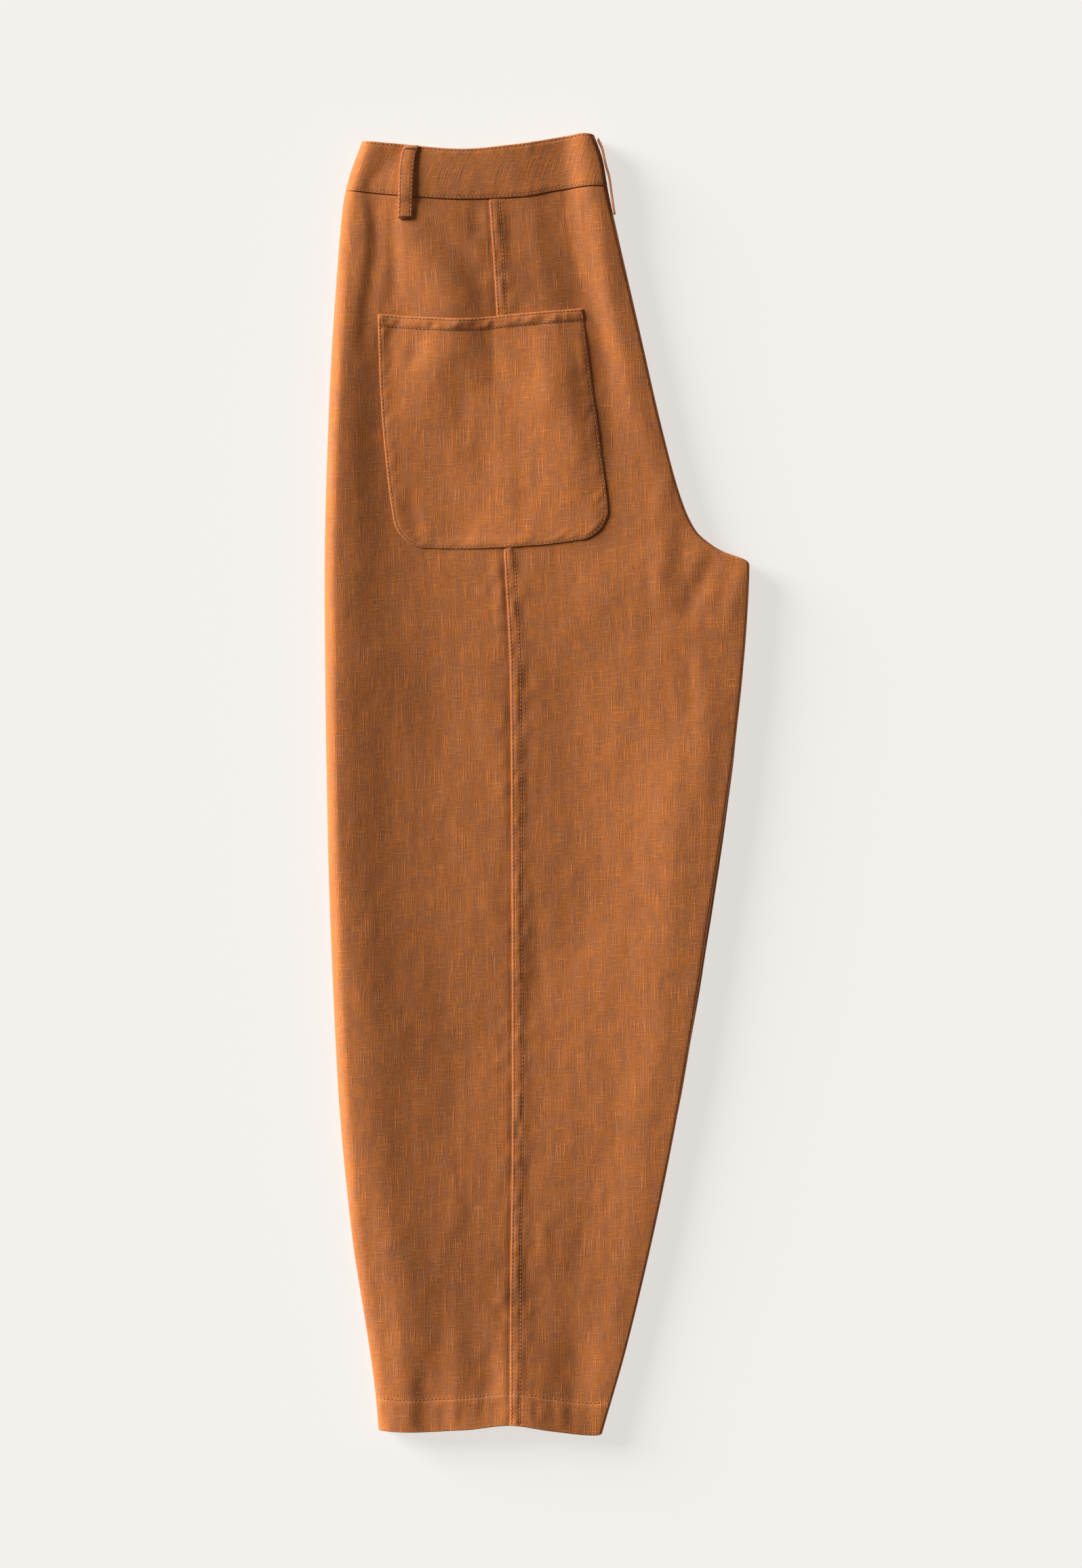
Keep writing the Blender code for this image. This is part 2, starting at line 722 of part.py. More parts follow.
def centre_loop(name, finish, collection):
    """Belt loop at the centre back fold: it stands on edge, so that its width is upright."""
    rows = np.linspace(CENTRE_LOOP[0].down, CENTRE_LOOP[-1].down, LOOP_ROWS)
    outer = through(CENTRE_LOOP, rows)
    heights = CENTRE_LOOP_BOTTOM + np.array([0, 0.06, 0.5, 0.94, 1]) * LOOP_WIDTH
    trim = np.array([0.5, 0, 0, 0, 0.5])
    outside = np.zeros((len(heights), len(rows), 3))
    inside = np.zeros_like(outside)
    for i, z in enumerate(heights):
        for j, row in enumerate(rows):
            clear = right_edge(row) + GAP
            thick = min(LOOP_WALL, outer[j] - trim[i] - clear)
            outside[i, j] = (outer[j] - trim[i], LENGTH / 2 - row, z)
            inside[i, j] = (outer[j] - trim[i] - thick, LENGTH / 2 - row, z)
    stacked_solid(name, outside * MM, [], inside * MM, finish, collection)


def main():
    for old in list(bpy.data.objects):
        bpy.data.objects.remove(old)
    collection = bpy.data.collections.new("barrel_leg_trousers")
    bpy.context.scene.collection.children.link(collection)
    cloth = material("linen", CLOTH_COLOUR)
    shade = material("linen_under", HIDDEN_COLOUR)

    panel("back_panel_outer", outer_columns(), cloth, collection)
    panel("back_panel_inner", inner_columns(), cloth, collection)
    leg_start = [line._replace(down=line.down + GAP / 2) for line in WAIST_SEAM]
    hidden_solid("hidden_layers", leg_start, HEM_LINE, leg_shares(), 0, 1, shade, collection)
    waistband("waistband_back", cloth, collection)
    band_end = [line._replace(down=line.down - GAP / 2) for line in WAIST_SEAM]
    hidden_solid(
        "waistband_hidden", BAND_TOP, band_end, np.linspace(0, 1, BAND_ROWS), 1, 0, shade, collection
    )
    pocket("back_pocket", cloth, collection)
    side_loop("belt_loop_side", cloth, collection)
    centre_loop("belt_loop_centre_back", cloth, collection)


main()
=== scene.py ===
"""Barrel leg linen trousers, folded in half lengthwise and laid flat, seen from straight above.

Sizes are in millimetres in the tables and the shape functions, and in metres in the meshes.
"down" is the distance from the highest point of the waistband towards the hem, as on a cutting table.
"""

import math
from collections import namedtuple

import bpy
import numpy as np
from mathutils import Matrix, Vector, noise


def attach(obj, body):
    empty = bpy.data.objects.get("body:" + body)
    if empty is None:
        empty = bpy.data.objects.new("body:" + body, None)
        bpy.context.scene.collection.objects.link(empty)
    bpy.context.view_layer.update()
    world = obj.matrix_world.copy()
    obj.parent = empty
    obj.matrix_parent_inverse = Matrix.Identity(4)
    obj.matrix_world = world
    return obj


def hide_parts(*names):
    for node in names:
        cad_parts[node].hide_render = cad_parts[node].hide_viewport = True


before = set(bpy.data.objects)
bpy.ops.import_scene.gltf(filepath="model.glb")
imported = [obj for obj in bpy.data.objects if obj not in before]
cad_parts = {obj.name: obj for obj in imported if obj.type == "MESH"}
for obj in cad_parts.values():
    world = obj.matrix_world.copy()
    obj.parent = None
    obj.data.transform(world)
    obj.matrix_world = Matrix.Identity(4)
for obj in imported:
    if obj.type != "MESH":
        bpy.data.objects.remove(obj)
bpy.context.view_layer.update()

MM = 0.001
BODY = "root"

# Overall form, as in the solids
LENGTH = 1002.75
FOLD_Z = 7.4
LEFT_ROLL = 9.5
LEFT_LEAN = 0.12
LEFT_FALL = 0.2
RIGHT_INSET = 2.0
CLOTH = 0.7
HEM_DEPTH = 25.6
HEM_RISE = 0.45
HEM_DROP = 1.6
SEAM_STRIP_WIDTH = 8.6
SEAM_STRIP_RISE = 0.45
BAND_RISE = 0.8
BAND_DEPTH = 39.1
PEEK = 2.0
PEEK_AT = 590.0
PEEK_REACH = 120.0

Edge = namedtuple("Edge", "down x")
Line = namedtuple("Line", "x down")
Section = namedtuple(
    "Section",
    "down crest_in crest fall_x fall low_x low seam mid_x mid rise_x rise shoulder_in shoulder edge",
)
Crease = namedtuple("Crease", "path height left right")
Ply = namedtuple("Ply", "z leg rise hem waist")

LEFT_EDGE = [
    Edge(0, -132.8),
    Edge(9, -136.1),
    Edge(33, -144.7),
    Edge(54, -149.4),
    Edge(106, -154.1),
    Edge(210, -160.4),
    Edge(341, -163.8),
    Edge(524, -161.7),
    Edge(723, -154.1),
    Edge(838, -144.0),
    Edge(968, -124.9),
    Edge(1000, -122.0),
]
RIGHT_EDGE = [
    Edge(0, 43.8),
    Edge(20, 50.7),
    Edge(44, 54.9),
    Edge(75, 61.7),
    Edge(148, 78.4),
    Edge(232, 97.7),
    Edge(284, 112.3),
    Edge(306, 122.8),
    Edge(317, 135.3),
    Edge(322, 144.2),
    Edge(326, 155.7),
    Edge(329, 162.0),
    Edge(332, 163.85),
    Edge(367, 162.5),
    Edge(472, 153.1),
    Edge(639, 129.1),
    Edge(806, 98.8),
    Edge(932, 70.0),
    Edge(1000, 50.7),
]
BACK_SEAM = [
    Edge(50, -36.7),
    Edge(142, -30.8),
    Edge(320, -25.2),
    Edge(420, -20.4),
    Edge(560, -19.4),
    Edge(768, -18.9),
    Edge(876, -20.2),
    Edge(1000, -20.8),
]
BAND_TOP = [
    Line(-135, 5.7),
    Line(-111, 7.8),
    Line(-58, 12.0),
    Line(-17, 8.4),
    Line(25, 1.6),
    Line(36, 0.0),
    Line(44, 1.0),
    Line(50, 4.0),
]
WAIST_SEAM = [
    Line(-148, 43.9),
    Line(-107, 48.1),
    Line(-60, 51.0),
    Line(-12, 48.9),
    Line(16, 43.9),
    Line(43, 40.5),
    Line(58, 40.2),
]
HEM_LINE = [
    Line(-122, 999.0),
    Line(-98, 1000.0),
    Line(-54, 998.0),
    Line(-21, 994.6),
    Line(12, 999.2),
    Line(45, 1002.8),
    Line(54, 1001.0),
]

# Cross sections of the top leg from left to right: the crest in the side fold, a place on its fall, the low
# beyond, the back seam, a place right of it, one on the next rise, the shoulder, and the right edge
SECTIONS = [
    Section(0, 10, 13.4, -92, 12.8, -72, 12.4, 13.2, -8, 12.8, 20, 11.2, 6, 14.4, 14.0),
    Section(44, 11, 14.4, -128, 13.8, -102, 15.6, 13.2, -10, 12.2, 20, 10.6, 11, 15.0, 14.4),
    Section(72, 19, 15.6, -123, 14.8, -98, 17.0, 13.9, -2, 12.0, 23, 10.4, 11, 15.0, 14.2),
    Section(101, 20, 15.8, -116, 14.8, -80, 18.0, 14.2, 2, 12.8, 29, 10.2, 14, 14.4, 13.4),
    Section(131, 12, 16.4, -113, 14.4, -66, 18.3, 14.4, 4, 13.4, 38, 10.0, 16, 13.8, 12.9),
    Section(160, 10, 17.2, -112, 13.2, -66, 16.6, 14.0, 14, 14.4, 48, 10.4, 15, 13.7, 12.8),
    Section(201, 10, 17.8, -112, 12.9, -84, 14.4, 12.7, 18, 16.0, 53, 11.0, 16, 13.8, 12.9),
    Section(251, 10, 18.0, -118, 12.8, -80, 11.5, 12.0, 30, 14.4, 59, 11.8, 14, 13.2, 12.4),
    Section(301, 10, 18.3, -112, 13.0, -62, 10.2, 11.7, 30, 13.2, 62, 12.2, 18, 13.0, 12.2),
    Section(345, 10, 18.4, -114, 13.7, -78, 11.7, 11.9, 15, 12.0, 58, 13.6, 40, 14.6, 13.4),
    Section(401, 10, 18.4, -98, 12.7, -75, 11.2, 11.6, 15, 10.8, 52, 11.6, 30, 14.4, 13.7),
    Section(451, 10, 18.2, -108, 13.2, -66, 10.3, 10.5, 26, 9.0, 66, 10.5, 22, 14.0, 13.4),
    Section(501, 10, 18.2, -108, 13.3, -75, 11.4, 10.8, 28, 8.9, 66, 10.2, 30, 14.4, 13.7),
    Section(551, 11, 18.3, -109, 13.4, -82, 11.8, 11.1, 36, 9.2, 70, 10.8, 33, 14.2, 13.6),
    Section(601, 14, 18.2, -105, 13.6, -70, 11.3, 10.6, 32, 9.2, 70, 11.1, 28, 14.0, 13.4),
    Section(651, 17, 18.2, -104, 14.3, -68, 11.2, 9.9, 8, 8.9, 60, 10.9, 24, 13.5, 13.1),
    Section(701, 20, 17.8, -98, 14.0, -56, 10.4, 9.8, 5, 9.6, 65, 10.9, 22, 12.9, 12.6),
    Section(751, 20, 17.0, -98, 14.0, -58, 10.9, 10.5, 4, 10.0, 55, 10.7, 22, 12.3, 12.1),
    Section(801, 24, 16.6, -92, 13.8, -60, 11.7, 11.0, 2, 10.3, 46, 9.9, 16, 11.8, 11.7),
    Section(851, 32, 16.0, -82, 13.6, -54, 12.0, 11.2, -2, 10.8, 38, 9.8, 12, 11.4, 11.3),
    Section(901, 36, 15.4, -72, 13.0, -44, 11.8, 11.2, 2, 10.4, 38, 9.6, 10, 11.0, 10.9),
    Section(941, 34, 15.0, -72, 13.4, -44, 12.6, 12.4, 2, 11.6, 34, 9.8, 8, 10.9, 10.8),
    Section(1000, 24, 14.2, -82, 13.4, -50, 14.4, 15.0, -9, 15.4, 30, 11.8, 8, 10.8, 10.7),
]
# Right side of the form, which rounds off the crotch, and how far the cloth rolls over at the right edge
RIGHT_FORM = [
    Edge(0, 44),
    Edge(44, 55),
    Edge(148, 78.5),
    Edge(232, 98),
    Edge(284, 116),
    Edge(320, 139),
    Edge(350, 155),
    Edge(400, 160.5),
    Edge(472, 153),
    Edge(639, 129),
    Edge(806, 99),
    Edge(932, 70),
    Edge(1000, 50.7),
]
RIGHT_ROLL = [
    Edge(0, 4.0),
    Edge(50, 3.5),
    Edge(110, 2.8),
    Edge(330, 2.2),
    Edge(1000, 2.0),
]

# Creases in the top leg: path in x and y, height (below 0 is a trough), and reach to each side
CREASES = [
    # Slack under the waistband at the side
    Crease(((-124, 455), (-125, 410), (-130, 370), (-134, 325)), -1.3, 6, 7),
    Crease(((-111, 458), (-111, 430), (-110, 400), (-112, 366)), -0.9, 5, 6),
    Crease(((-88, 430), (-64, 410), (-46, 388), (-36, 366)), -1.1, 10, 11),
    Crease(((-74, 446), (-58, 424), (-42, 408), (-26, 394), (-8, 378)), 0.8, 9, 9),
    Crease(((-50, 452), (-47, 438), (-46, 420)), -0.6, 5, 6),
    Crease(((-24, 450), (-21, 434), (-18, 414)), -0.6, 5, 6),
    Crease(((-4, 452), (-2, 425), (4, 395)), 0.5, 6, 6),
    # Crotch
    Crease(((113, 206), (113, 180), (109, 146)), -1.1, 8, 9),
    Crease(((138, 178), (129, 162), (120, 144), (115, 122)), -1.4, 8, 9),
    Crease(((158, 168), (153, 150), (149, 132), (146, 110)), 0.8, 6, 7),
    Crease(((96, 196), (94, 166), (92, 126)), 0.7, 7, 8),
    Crease(((84, 176), (88, 140), (90, 104)), -0.5, 6, 8),
    Crease(((104, 258), (96, 220), (88, 190)), 0.5, 7, 8),
    # Leg
    Crease(((-46, 110), (-34, 50), (-24, -10), (-22, -70)), 0.4, 12, 10),
    Crease(((-34, 176), (-28, 150), (-29, 118)), 0.4, 3.5, 4.5),
    Crease(((-66, 165), (-56, 155), (-42, 150)), -0.3, 4, 5),
    Crease(((-78, -20), (-66, -60), (-52, -100)), -0.4, 10, 12),
    Crease(((-48, -76), (-36, -96), (-26, -118)), 0.4, 6, 7),
    Crease(((112, 112), (116, 84), (120, 50)), -0.5, 6, 7),
    Crease(((127, 100), (127, 60), (130, 20), (130, -50)), 0.5, 7, 9),
    Crease(((-2, -84), (0, -130), (-2, -186)), -0.6, 6, 8),
    # Lower leg
    Crease(((-66, -300), (-62, -322), (-66, -352)), 0.5, 7, 7),
    Crease(((36, -330), (32, -360), (28, -394)), -0.4, 7, 8),
    Crease(((2, -330), (6, -352), (6, -376)), 0.4, 6, 7),
    Crease(((-12, -370), (0, -396), (6, -424)), -0.6, 7, 9),
    Crease(((-28, -380), (-24, -400), (-18, -420)), 0.5, 6, 6),
    # Above and through the hem
    Crease(((22, -392), (30, -440), (32, -505)), -0.7, 12, 12),
    Crease(((-14, -404), (-10, -440), (-6, -505)), 0.8, 12, 11),
    Crease(((-34, -430), (-38, -470), (-39, -505)), -1.0, 8, 8),
    Crease(((-72, -392), (-62, -430), (-60, -505)), 0.7, 10, 9),
    Crease(((-92, -440), (-86, -470), (-85, -505)), -0.9, 8, 8),
    Crease(((-108, -380), (-106, -420), (-104, -470)), 0.4, 8, 8),
]

# Creases in the pocket alone
POCKET_CREASES = [
    Crease(((-84, 352), (-92, 336), (-98, 318)), -0.6, 7, 7),
    Crease(((-104, 362), (-112, 340), (-113, 316)), -0.5, 5, 5),
    Crease(((-44, 360), (-34, 330), (-30, 300)), -0.7, 7, 9),
    Crease(((-66, 330), (-58, 295), (-56, 262)), -0.5, 9, 9),
    Crease(((4, 356), (8, 320), (10, 280)), 0.8, 9, 9),
    Crease(((-46, 276), (-42, 256), (-40, 232)), -0.4, 8, 8),
    Crease(((-100, 226), (-96, 206), (-90, 192)), -0.5, 6, 6),
    Crease(((40, 222), (44, 206), (44, 194)), 0.5, 6, 6),
    Crease(((-20, 250), (-8, 222), (-2, 196)), -0.4, 9, 10),
]

# Edges of the layers underneath, from the outseam down to the surface they lie on
PLIES = [
    Ply(7.1, 0.2, 0.0, 0.6, 0.6),
    Ply(6.75, 0.0, 0.0, 0.2, 0.2),
    Ply(6.2, 0.5, 0.1, 0.4, 0.3),
    Ply(5.7, 1.4, 0.2, 1.0, 1.0),
    Ply(5.2, 2.8, 0.3, 2.6, 2.6),
    Ply(4.85, 4.4, 0.45, 3.8, 3.6),
    Ply(4.5, 2.9, 0.5, 1.6, 2.0),
    Ply(4.0, 1.4, 0.7, 0.5, 0.7),
    Ply(3.3, 0.4, 1.1, 0.3, 0.4),
    Ply(2.7, 0.1, 1.5, 0.8, 0.8),
    Ply(2.4, 0.1, 1.8, 2.4, 2.4),
    Ply(2.1, 0.2, 2.0, 0.9, 1.0),
    Ply(1.3, 0.7, 2.8, 0.5, 0.5),
    Ply(0.6, 1.6, 3.8, 1.0, 1.0),
    Ply(0.0, 3.2, 5.0, 2.2, 2.2),
]
LOWER_LEG_SHIFT = 1.0
LOWER_LEG_TOP = 4.9
LOWER_LEG_BLEND = 0.5
CROTCH_BLEND_FROM = 325.8
CROTCH_BLEND = 24.0

POCKET_LEFT = [
    Edge(139, -122.4),
    Edge(175, -121.5),
    Edge(210, -119.9),
    Edge(263, -115.2),
    Edge(319, -107.5),
]
POCKET_RIGHT = [
    Edge(135, 35.0),
    Edge(187, 41.8),
    Edge(237, 48.6),
    Edge(293, 55.3),
    Edge(317, 57.0),
]
POCKET_MOUTH = [
    Line(-122, 139.5),
    Line(-84, 142.3),
    Line(-60, 143.2),
    Line(-12, 139.0),
    Line(35, 134.8),
]
POCKET_FOOT = [
    Line(-108, 319.0),
    Line(-60, 320.0),
    Line(-1, 317.4),
    Line(35, 313.0),
    Line(57, 309.0),
]
POCKET_HEIGHT = 178.0
POCKET_WIDTH = 157.0
POCKET_CORNER = 22.0
POCKET_RISE = 0.9
POCKET_HEM = 9.4

SIDE_LOOP = [
    Edge(9.6, -96.6),
    Edge(20, -99.4),
    Edge(34, -100.6),
    Edge(66.4, -101.4),
]
CENTRE_LOOP = [
    Edge(3.5, 47.6),
    Edge(11, 51.0),
    Edge(22, 53.4),
    Edge(34, 56.6),
    Edge(47, 58.4),
    Edge(61.5, 60.6),
]
LOOP_WIDTH = 11.2
LOOP_WALL = 1.1
LOOP_BOW = 1.1
CENTRE_LOOP_BOTTOM = 2.6

# Rounds in which a column and a cross line find each other
FIRST_GUESS = 500.0
SETTLE_ROUNDS = 12

# Sewing
STITCH_PITCH = 3.07
STITCH_LENGTH = 2.55
STITCH_WIDTH = 0.62
STITCH_HEIGHT = 0.34
# Size of the dark disc of painted shade at each needle hole
NEEDLE_HOLE_SHADE = (0.95, 0.80)
SEAM_ROWS = (1.4, 7.8)
POCKET_EDGE_ROW = 1.5
POCKET_HEM_ROW = 9.0
BAND_ROW = 1.6


# Curves through the tables


def hermite(place, value, at):
    """Monotone cubic through the points (place, value), carried on straight past its ends."""
    step = np.diff(place)
    slope = np.diff(value) / step
    tangent = np.empty_like(value)
    tangent[0], tangent[-1] = slope[0], slope[-1]
    same_way = slope[:-1] * slope[1:] > 0
    total = np.where(same_way, slope[:-1] + slope[1:], 1)
    tangent[1:-1] = np.where(same_way, 2 * slope[:-1] * slope[1:] / total, 0)
    at = np.asarray(at, float)
    i = np.clip(np.searchsorted(place, at) - 1, 0, len(step) - 1)
    u = (at - place[i]) / step[i]
    inside = np.clip(u, 0, 1)
    square, cube = inside**2, inside**3
    curve = (
        (2 * cube - 3 * square + 1) * value[i]
        + (cube - 2 * square + inside) * step[i] * tangent[i]
        + (3 * square - 2 * cube) * value[i + 1]
        + (cube - square) * step[i] * tangent[i + 1]
    )
    past = np.where(u > 1, (u - 1) * step[i] * tangent[i + 1], 0)
    before = np.where(u < 0, u * step[i] * tangent[i], 0)
    return curve + past + before


def through(rows, at):
    """A smooth curve through a two-column table."""
    place, value = np.array(rows, float).T
    return hermite(place, value, at)


def peek(down):
    return PEEK * np.exp(-(((down - PEEK_AT) / PEEK_REACH) ** 2))


def left_edge(down):
    return through(LEFT_EDGE, down)


def right_edge(down):
    return through(RIGHT_EDGE, down) - peek(down)


def back_seam(down):
    return through(BACK_SEAM, down)


def square_on(down):
    """Cosine of the right edge's lean."""
    lean = (right_edge(down + 1) - right_edge(down - 1)) / 2
    return 1 / np.sqrt(1 + lean**2)


def right_roll(down):
    return through(RIGHT_ROLL, down)


# Form of the cloth


def smooth_path(points, count):
    """Evenly spaced points on a smooth curve through a few points."""
    known = np.array(points, float)
    along = np.concatenate([[0], np.cumsum(np.hypot(*np.diff(known, axis=0).T))])
    at = np.linspace(0, along[-1], count)
    return np.stack([hermite(along, known[:, 0], at), hermite(along, known[:, 1], at)], axis=1)


def crease_relief(x, y, creases):
    """Sum of soft troughs and ridges, each fading out at its ends."""
    total = np.zeros(np.shape(x))
    for crease in creases:
        path = smooth_path(crease.path, 14)
        reach = 2.6 * max(crease.left, crease.right)
        near = (
            (x > path[:, 0].min() - reach)
            & (x < path[:, 0].max() + reach)
            & (y > path[:, 1].min() - reach)
            & (y < path[:, 1].max() + reach)
        )
        px, py = x[near], y[near]
        start, run = path[:-1], np.diff(path, axis=0)
        length = np.hypot(run[:, 0], run[:, 1])
        rel_x = np.subtract.outer(px, start[:, 0])
        rel_y = np.subtract.outer(py, start[:, 1])
        share = np.clip((rel_x * run[:, 0] + rel_y * run[:, 1]) / length**2, 0, 1)
        away = np.hypot(rel_x - share * run[:, 0], rel_y - share * run[:, 1])
        k = away.argmin(axis=1)
        pick = (np.arange(len(px)), k)
        side = rel_x[pick] * run[k, 1] - rel_y[pick] * run[k, 0]
        downwards = run[k, 1] < 0
        width = np.where((side > 0) == downwards, crease.left, crease.right)
        along = (k + share[pick]) / len(length)
        fade = np.clip(4 * along * (1 - along), 0, 1) ** 0.8
        total[near] += crease.height * fade * np.exp(-((away[pick] / width) ** 2))
    return total


def crumple(x, y, size, seed):
    """Gentle unevenness of relaxed linen, from -1 to 1."""
    flat = zip(np.ravel(x) / size, np.ravel(y) / size)
    values = [noise.noise(Vector((a, b, seed))) for a, b in flat]
    return np.reshape(values, np.shape(x))


def through_each(place, value, at):
    """Monotone cubic whose points differ from place to place: the first axis runs through the points."""
    step = np.diff(place, axis=0)
    slope = np.diff(value, axis=0) / step
    tangent = np.empty_like(value)
    tangent[0], tangent[-1] = slope[0], slope[-1]
    same_way = slope[:-1] * slope[1:] > 0
    total = np.where(same_way, slope[:-1] + slope[1:], 1)
    tangent[1:-1] = np.where(same_way, 2 * slope[:-1] * slope[1:] / total, 0)
    i = (at[None] > place[1:-1]).sum(axis=0)[None]

    def pick(table, k):
        return np.take_along_axis(table, k, axis=0)[0]

    start, run = pick(place, i), pick(step, i)
    u = np.clip((at - start) / run, 0, 1)
    square, cube = u**2, u**3
    return (
        (2 * cube - 3 * square + 1) * pick(value, i)
        + (cube - 2 * square + u) * run * pick(tangent, i)
        + (3 * square - 2 * cube) * pick(value, i + 1)
        + (cube - square) * run * pick(tangent, i + 1)
    )


def section_height(x, down):
    """Top of the leg without its creases."""
    x, down = np.broadcast_arrays(np.asarray(x, float), np.asarray(down, float))
    known = np.array(SECTIONS, float)
    at = {name: hermite(known[:, 0], known[:, k], down) for k, name in enumerate(Section._fields)}
    left, right = left_edge(down), through(RIGHT_FORM, down)
    place = np.stack(
        [
            left,
            left + at["crest_in"],
            at["fall_x"],
            at["low_x"],
            back_seam(down),
            at["mid_x"],
            at["rise_x"],
            right - at["shoulder_in"],
            right - RIGHT_INSET,
        ]
    )
    value = np.stack(
        [
            at["crest"] - LEFT_FALL - LEFT_LEAN * np.maximum(at["crest_in"] - LEFT_ROLL, 0),
            at["crest"],
            at["fall"],
            at["low"],
            at["seam"],
            at["mid"],
            at["rise"],
            at["shoulder"],
            at["edge"],
        ]
    )
    return through_each(place, value, x)


def pocket_share(x, down):
    """1 well inside the pocket's outline, 0 outside it."""
    inside = np.minimum.reduce(
        [
            down - through(POCKET_MOUTH, x),
            through(POCKET_FOOT, x) - down,
            x - through(POCKET_LEFT, down),
            through(POCKET_RIGHT, down) - x,
        ]
    )
    return np.clip((inside - 3) / 8, 0, 1)


def large_form(x, down):
    y = LENGTH / 2 - down
    return section_height(x, down) + crease_relief(x, y, CREASES)


def cloth_height(x, down):
    """Top of the leg with everything but its sewing."""
    y = LENGTH / 2 - down
    loose = 1 - 0.85 * pocket_share(x, down)
    fine = 0.34 * crumple(x, y * 0.6, 30, 3.0) + 0.16 * crumple(x, y * 0.8, 11, 7.0)
    return large_form(x, down) + loose * fine


def bump(distance, centre, width):
    return np.exp(-(((distance - centre) / width) ** 2))


def seam_strip(x, down):
    """Felled seam: a doubled strip with two sewn rows and small puckers between them."""
    beside = x - back_seam(down)
    over = np.clip((SEAM_STRIP_WIDTH + 4 - beside) / 7, 0, 1) * (beside > -0.5)
    pucker = noise_along(down, 9.0, 11.0) * 0.34 + noise_along(down, 4.2, 12.0) * 0.14
    rows = sum(0.2 * bump(beside, row, 0.8) for row in SEAM_ROWS)
    between = bump(beside, 4.4, 2.6) * (0.1 + pucker)
    outside = 0.3 * noise_along(down, 12.0, 13.0) * bump(beside, 12.5, 3.5)
    shown = 1 - 0.8 * pocket_share(x, down)
    return (over * (SEAM_STRIP_RISE - rows + between) + outside) * shown


def noise_along(down, size, seed):
    """Unevenness along a sewn row, from -1 to 1."""
    at = np.arange(-20, LENGTH + 20, 1.0)
    known = np.array([noise.noise(Vector((a / size, seed, 0.5))) for a in at])
    return np.interp(down, at, known) * 1.6


def hem_relief(x, down):
    """Turned hem: its inner edge stands up at the sewn row, with ripples below it."""
    above = through(HEM_LINE, x) - down
    within = np.clip((HEM_DEPTH + 0.8 - above) / 1.6, 0, 1)
    row = -0.4 * bump(above, HEM_DEPTH - 1.0, 1.1)
    across = noise_along(x + 200, 7.0, 21.0) * 0.30
    ripple = across * (bump(above, 14, 9.0) + 0.5 * bump(above, HEM_DEPTH + 7, 6.0))
    return within * HEM_RISE + row + ripple


# Meshes


def surface_normals(grid):
    along_u = np.gradient(grid, axis=0)
    along_v = np.gradient(grid, axis=1)
    normal = np.cross(along_u, along_v)
    return normal / np.linalg.norm(normal, axis=2, keepdims=True)


def lengths_along(grid, axis):
    step = np.linalg.norm(np.diff(grid, axis=axis), axis=2)
    pad = np.zeros(grid.shape[:2])
    if axis == 0:
        pad[1:] = np.cumsum(step, axis=0)
    else:
        pad[:, 1:] = np.cumsum(step, axis=1)
    return pad


def grid_piece(name, grid, finish, uv=None, wear_and_shade=None, thickness=None):
    """A primitive grid laid over a table of places, in mm, with its cloth coordinates kept as its UV map."""
    columns, rows = grid.shape[:2]
    bpy.ops.object.select_all(action="DESELECT")
    bpy.ops.mesh.primitive_grid_add(x_subdivisions=columns - 1, y_subdivisions=rows - 1, size=2)
    piece = bpy.context.object
    piece.name = piece.data.name = name
    mesh = piece.data
    start = np.empty(len(mesh.vertices) * 3)
    mesh.vertices.foreach_get("co", start)
    start = start.reshape(-1, 3)
    i = np.rint((start[:, 0] + 1) / 2 * (columns - 1)).astype(int)
    j = np.rint((start[:, 1] + 1) / 2 * (rows - 1)).astype(int)
    mesh.vertices.foreach_set("co", (grid[i, j] * MM).ravel())
    if uv is None:
        uv = np.stack([lengths_along(grid, 0), lengths_along(grid, 1)], axis=2)
    corner = np.empty(len(mesh.loops), int)
    mesh.loops.foreach_get("vertex_index", corner)
    mesh.uv_layers[0].data.foreach_set("uv", (uv[i, j][corner] * MM).ravel())
    if wear_and_shade is not None:
        layer = mesh.attributes.new("wear_and_shade", "FLOAT", "POINT")
        layer.data.foreach_set("value", wear_and_shade[i, j].astype(float))
    mesh.materials.append(finish)
    if thickness:
        wall = piece.modifiers.new("wall", "SOLIDIFY")
        wall.thickness = thickness * MM
        wall.offset = -1
        wall.use_even_offset = False
        bpy.ops.object.modifier_apply(modifier=wall.name)
    bpy.ops.object.shade_smooth()
    return piece


def ride(piece):
    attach(piece, BODY)
    return piece


# Materials

GOLDEN_DYE = (0.455, 0.141, 0.0325)
ROSY_DYE = (0.405, 0.134, 0.0420)


def nodes_of(name):
    finish = bpy.data.materials.new(name)
    finish.use_nodes = True
    tree = finish.node_tree
    return finish, tree, tree.nodes["Principled BSDF"]


def math_node(tree, operation, first, second=None, third=None):
    node = tree.nodes.new("ShaderNodeMath")
    node.operation = operation
    for socket, value in zip(node.inputs, (first, second, third)):
        if value is None:
            continue
        if hasattr(value, "is_output"):
            tree.links.new(value, socket)
        else:
            socket.default_value = value
    return node.outputs[0]


def streaks(tree, coordinates, across, along, detail, turned, offset):
    """Noise drawn out along one set of threads: across and along are its sizes in mm."""
    mapping = tree.nodes.new("ShaderNodeMapping")
    scale = (1 / (across * MM), 1 / (along * MM), 1)
    mapping.inputs["Scale"].default_value = (scale[1], scale[0], 1) if turned else scale
    mapping.inputs["Location"].default_value = (offset, offset * 1.7, 0)
    tree.links.new(coordinates, mapping.inputs["Vector"])
    cloud = tree.nodes.new("ShaderNodeTexNoise")
    cloud.noise_dimensions = "2D"
    cloud.inputs["Scale"].default_value = 1
    cloud.inputs["Detail"].default_value = detail
    tree.links.new(mapping.outputs["Vector"], cloud.inputs["Vector"])
    return cloud.outputs["Factor" if "Factor" in cloud.outputs else "Fac"]


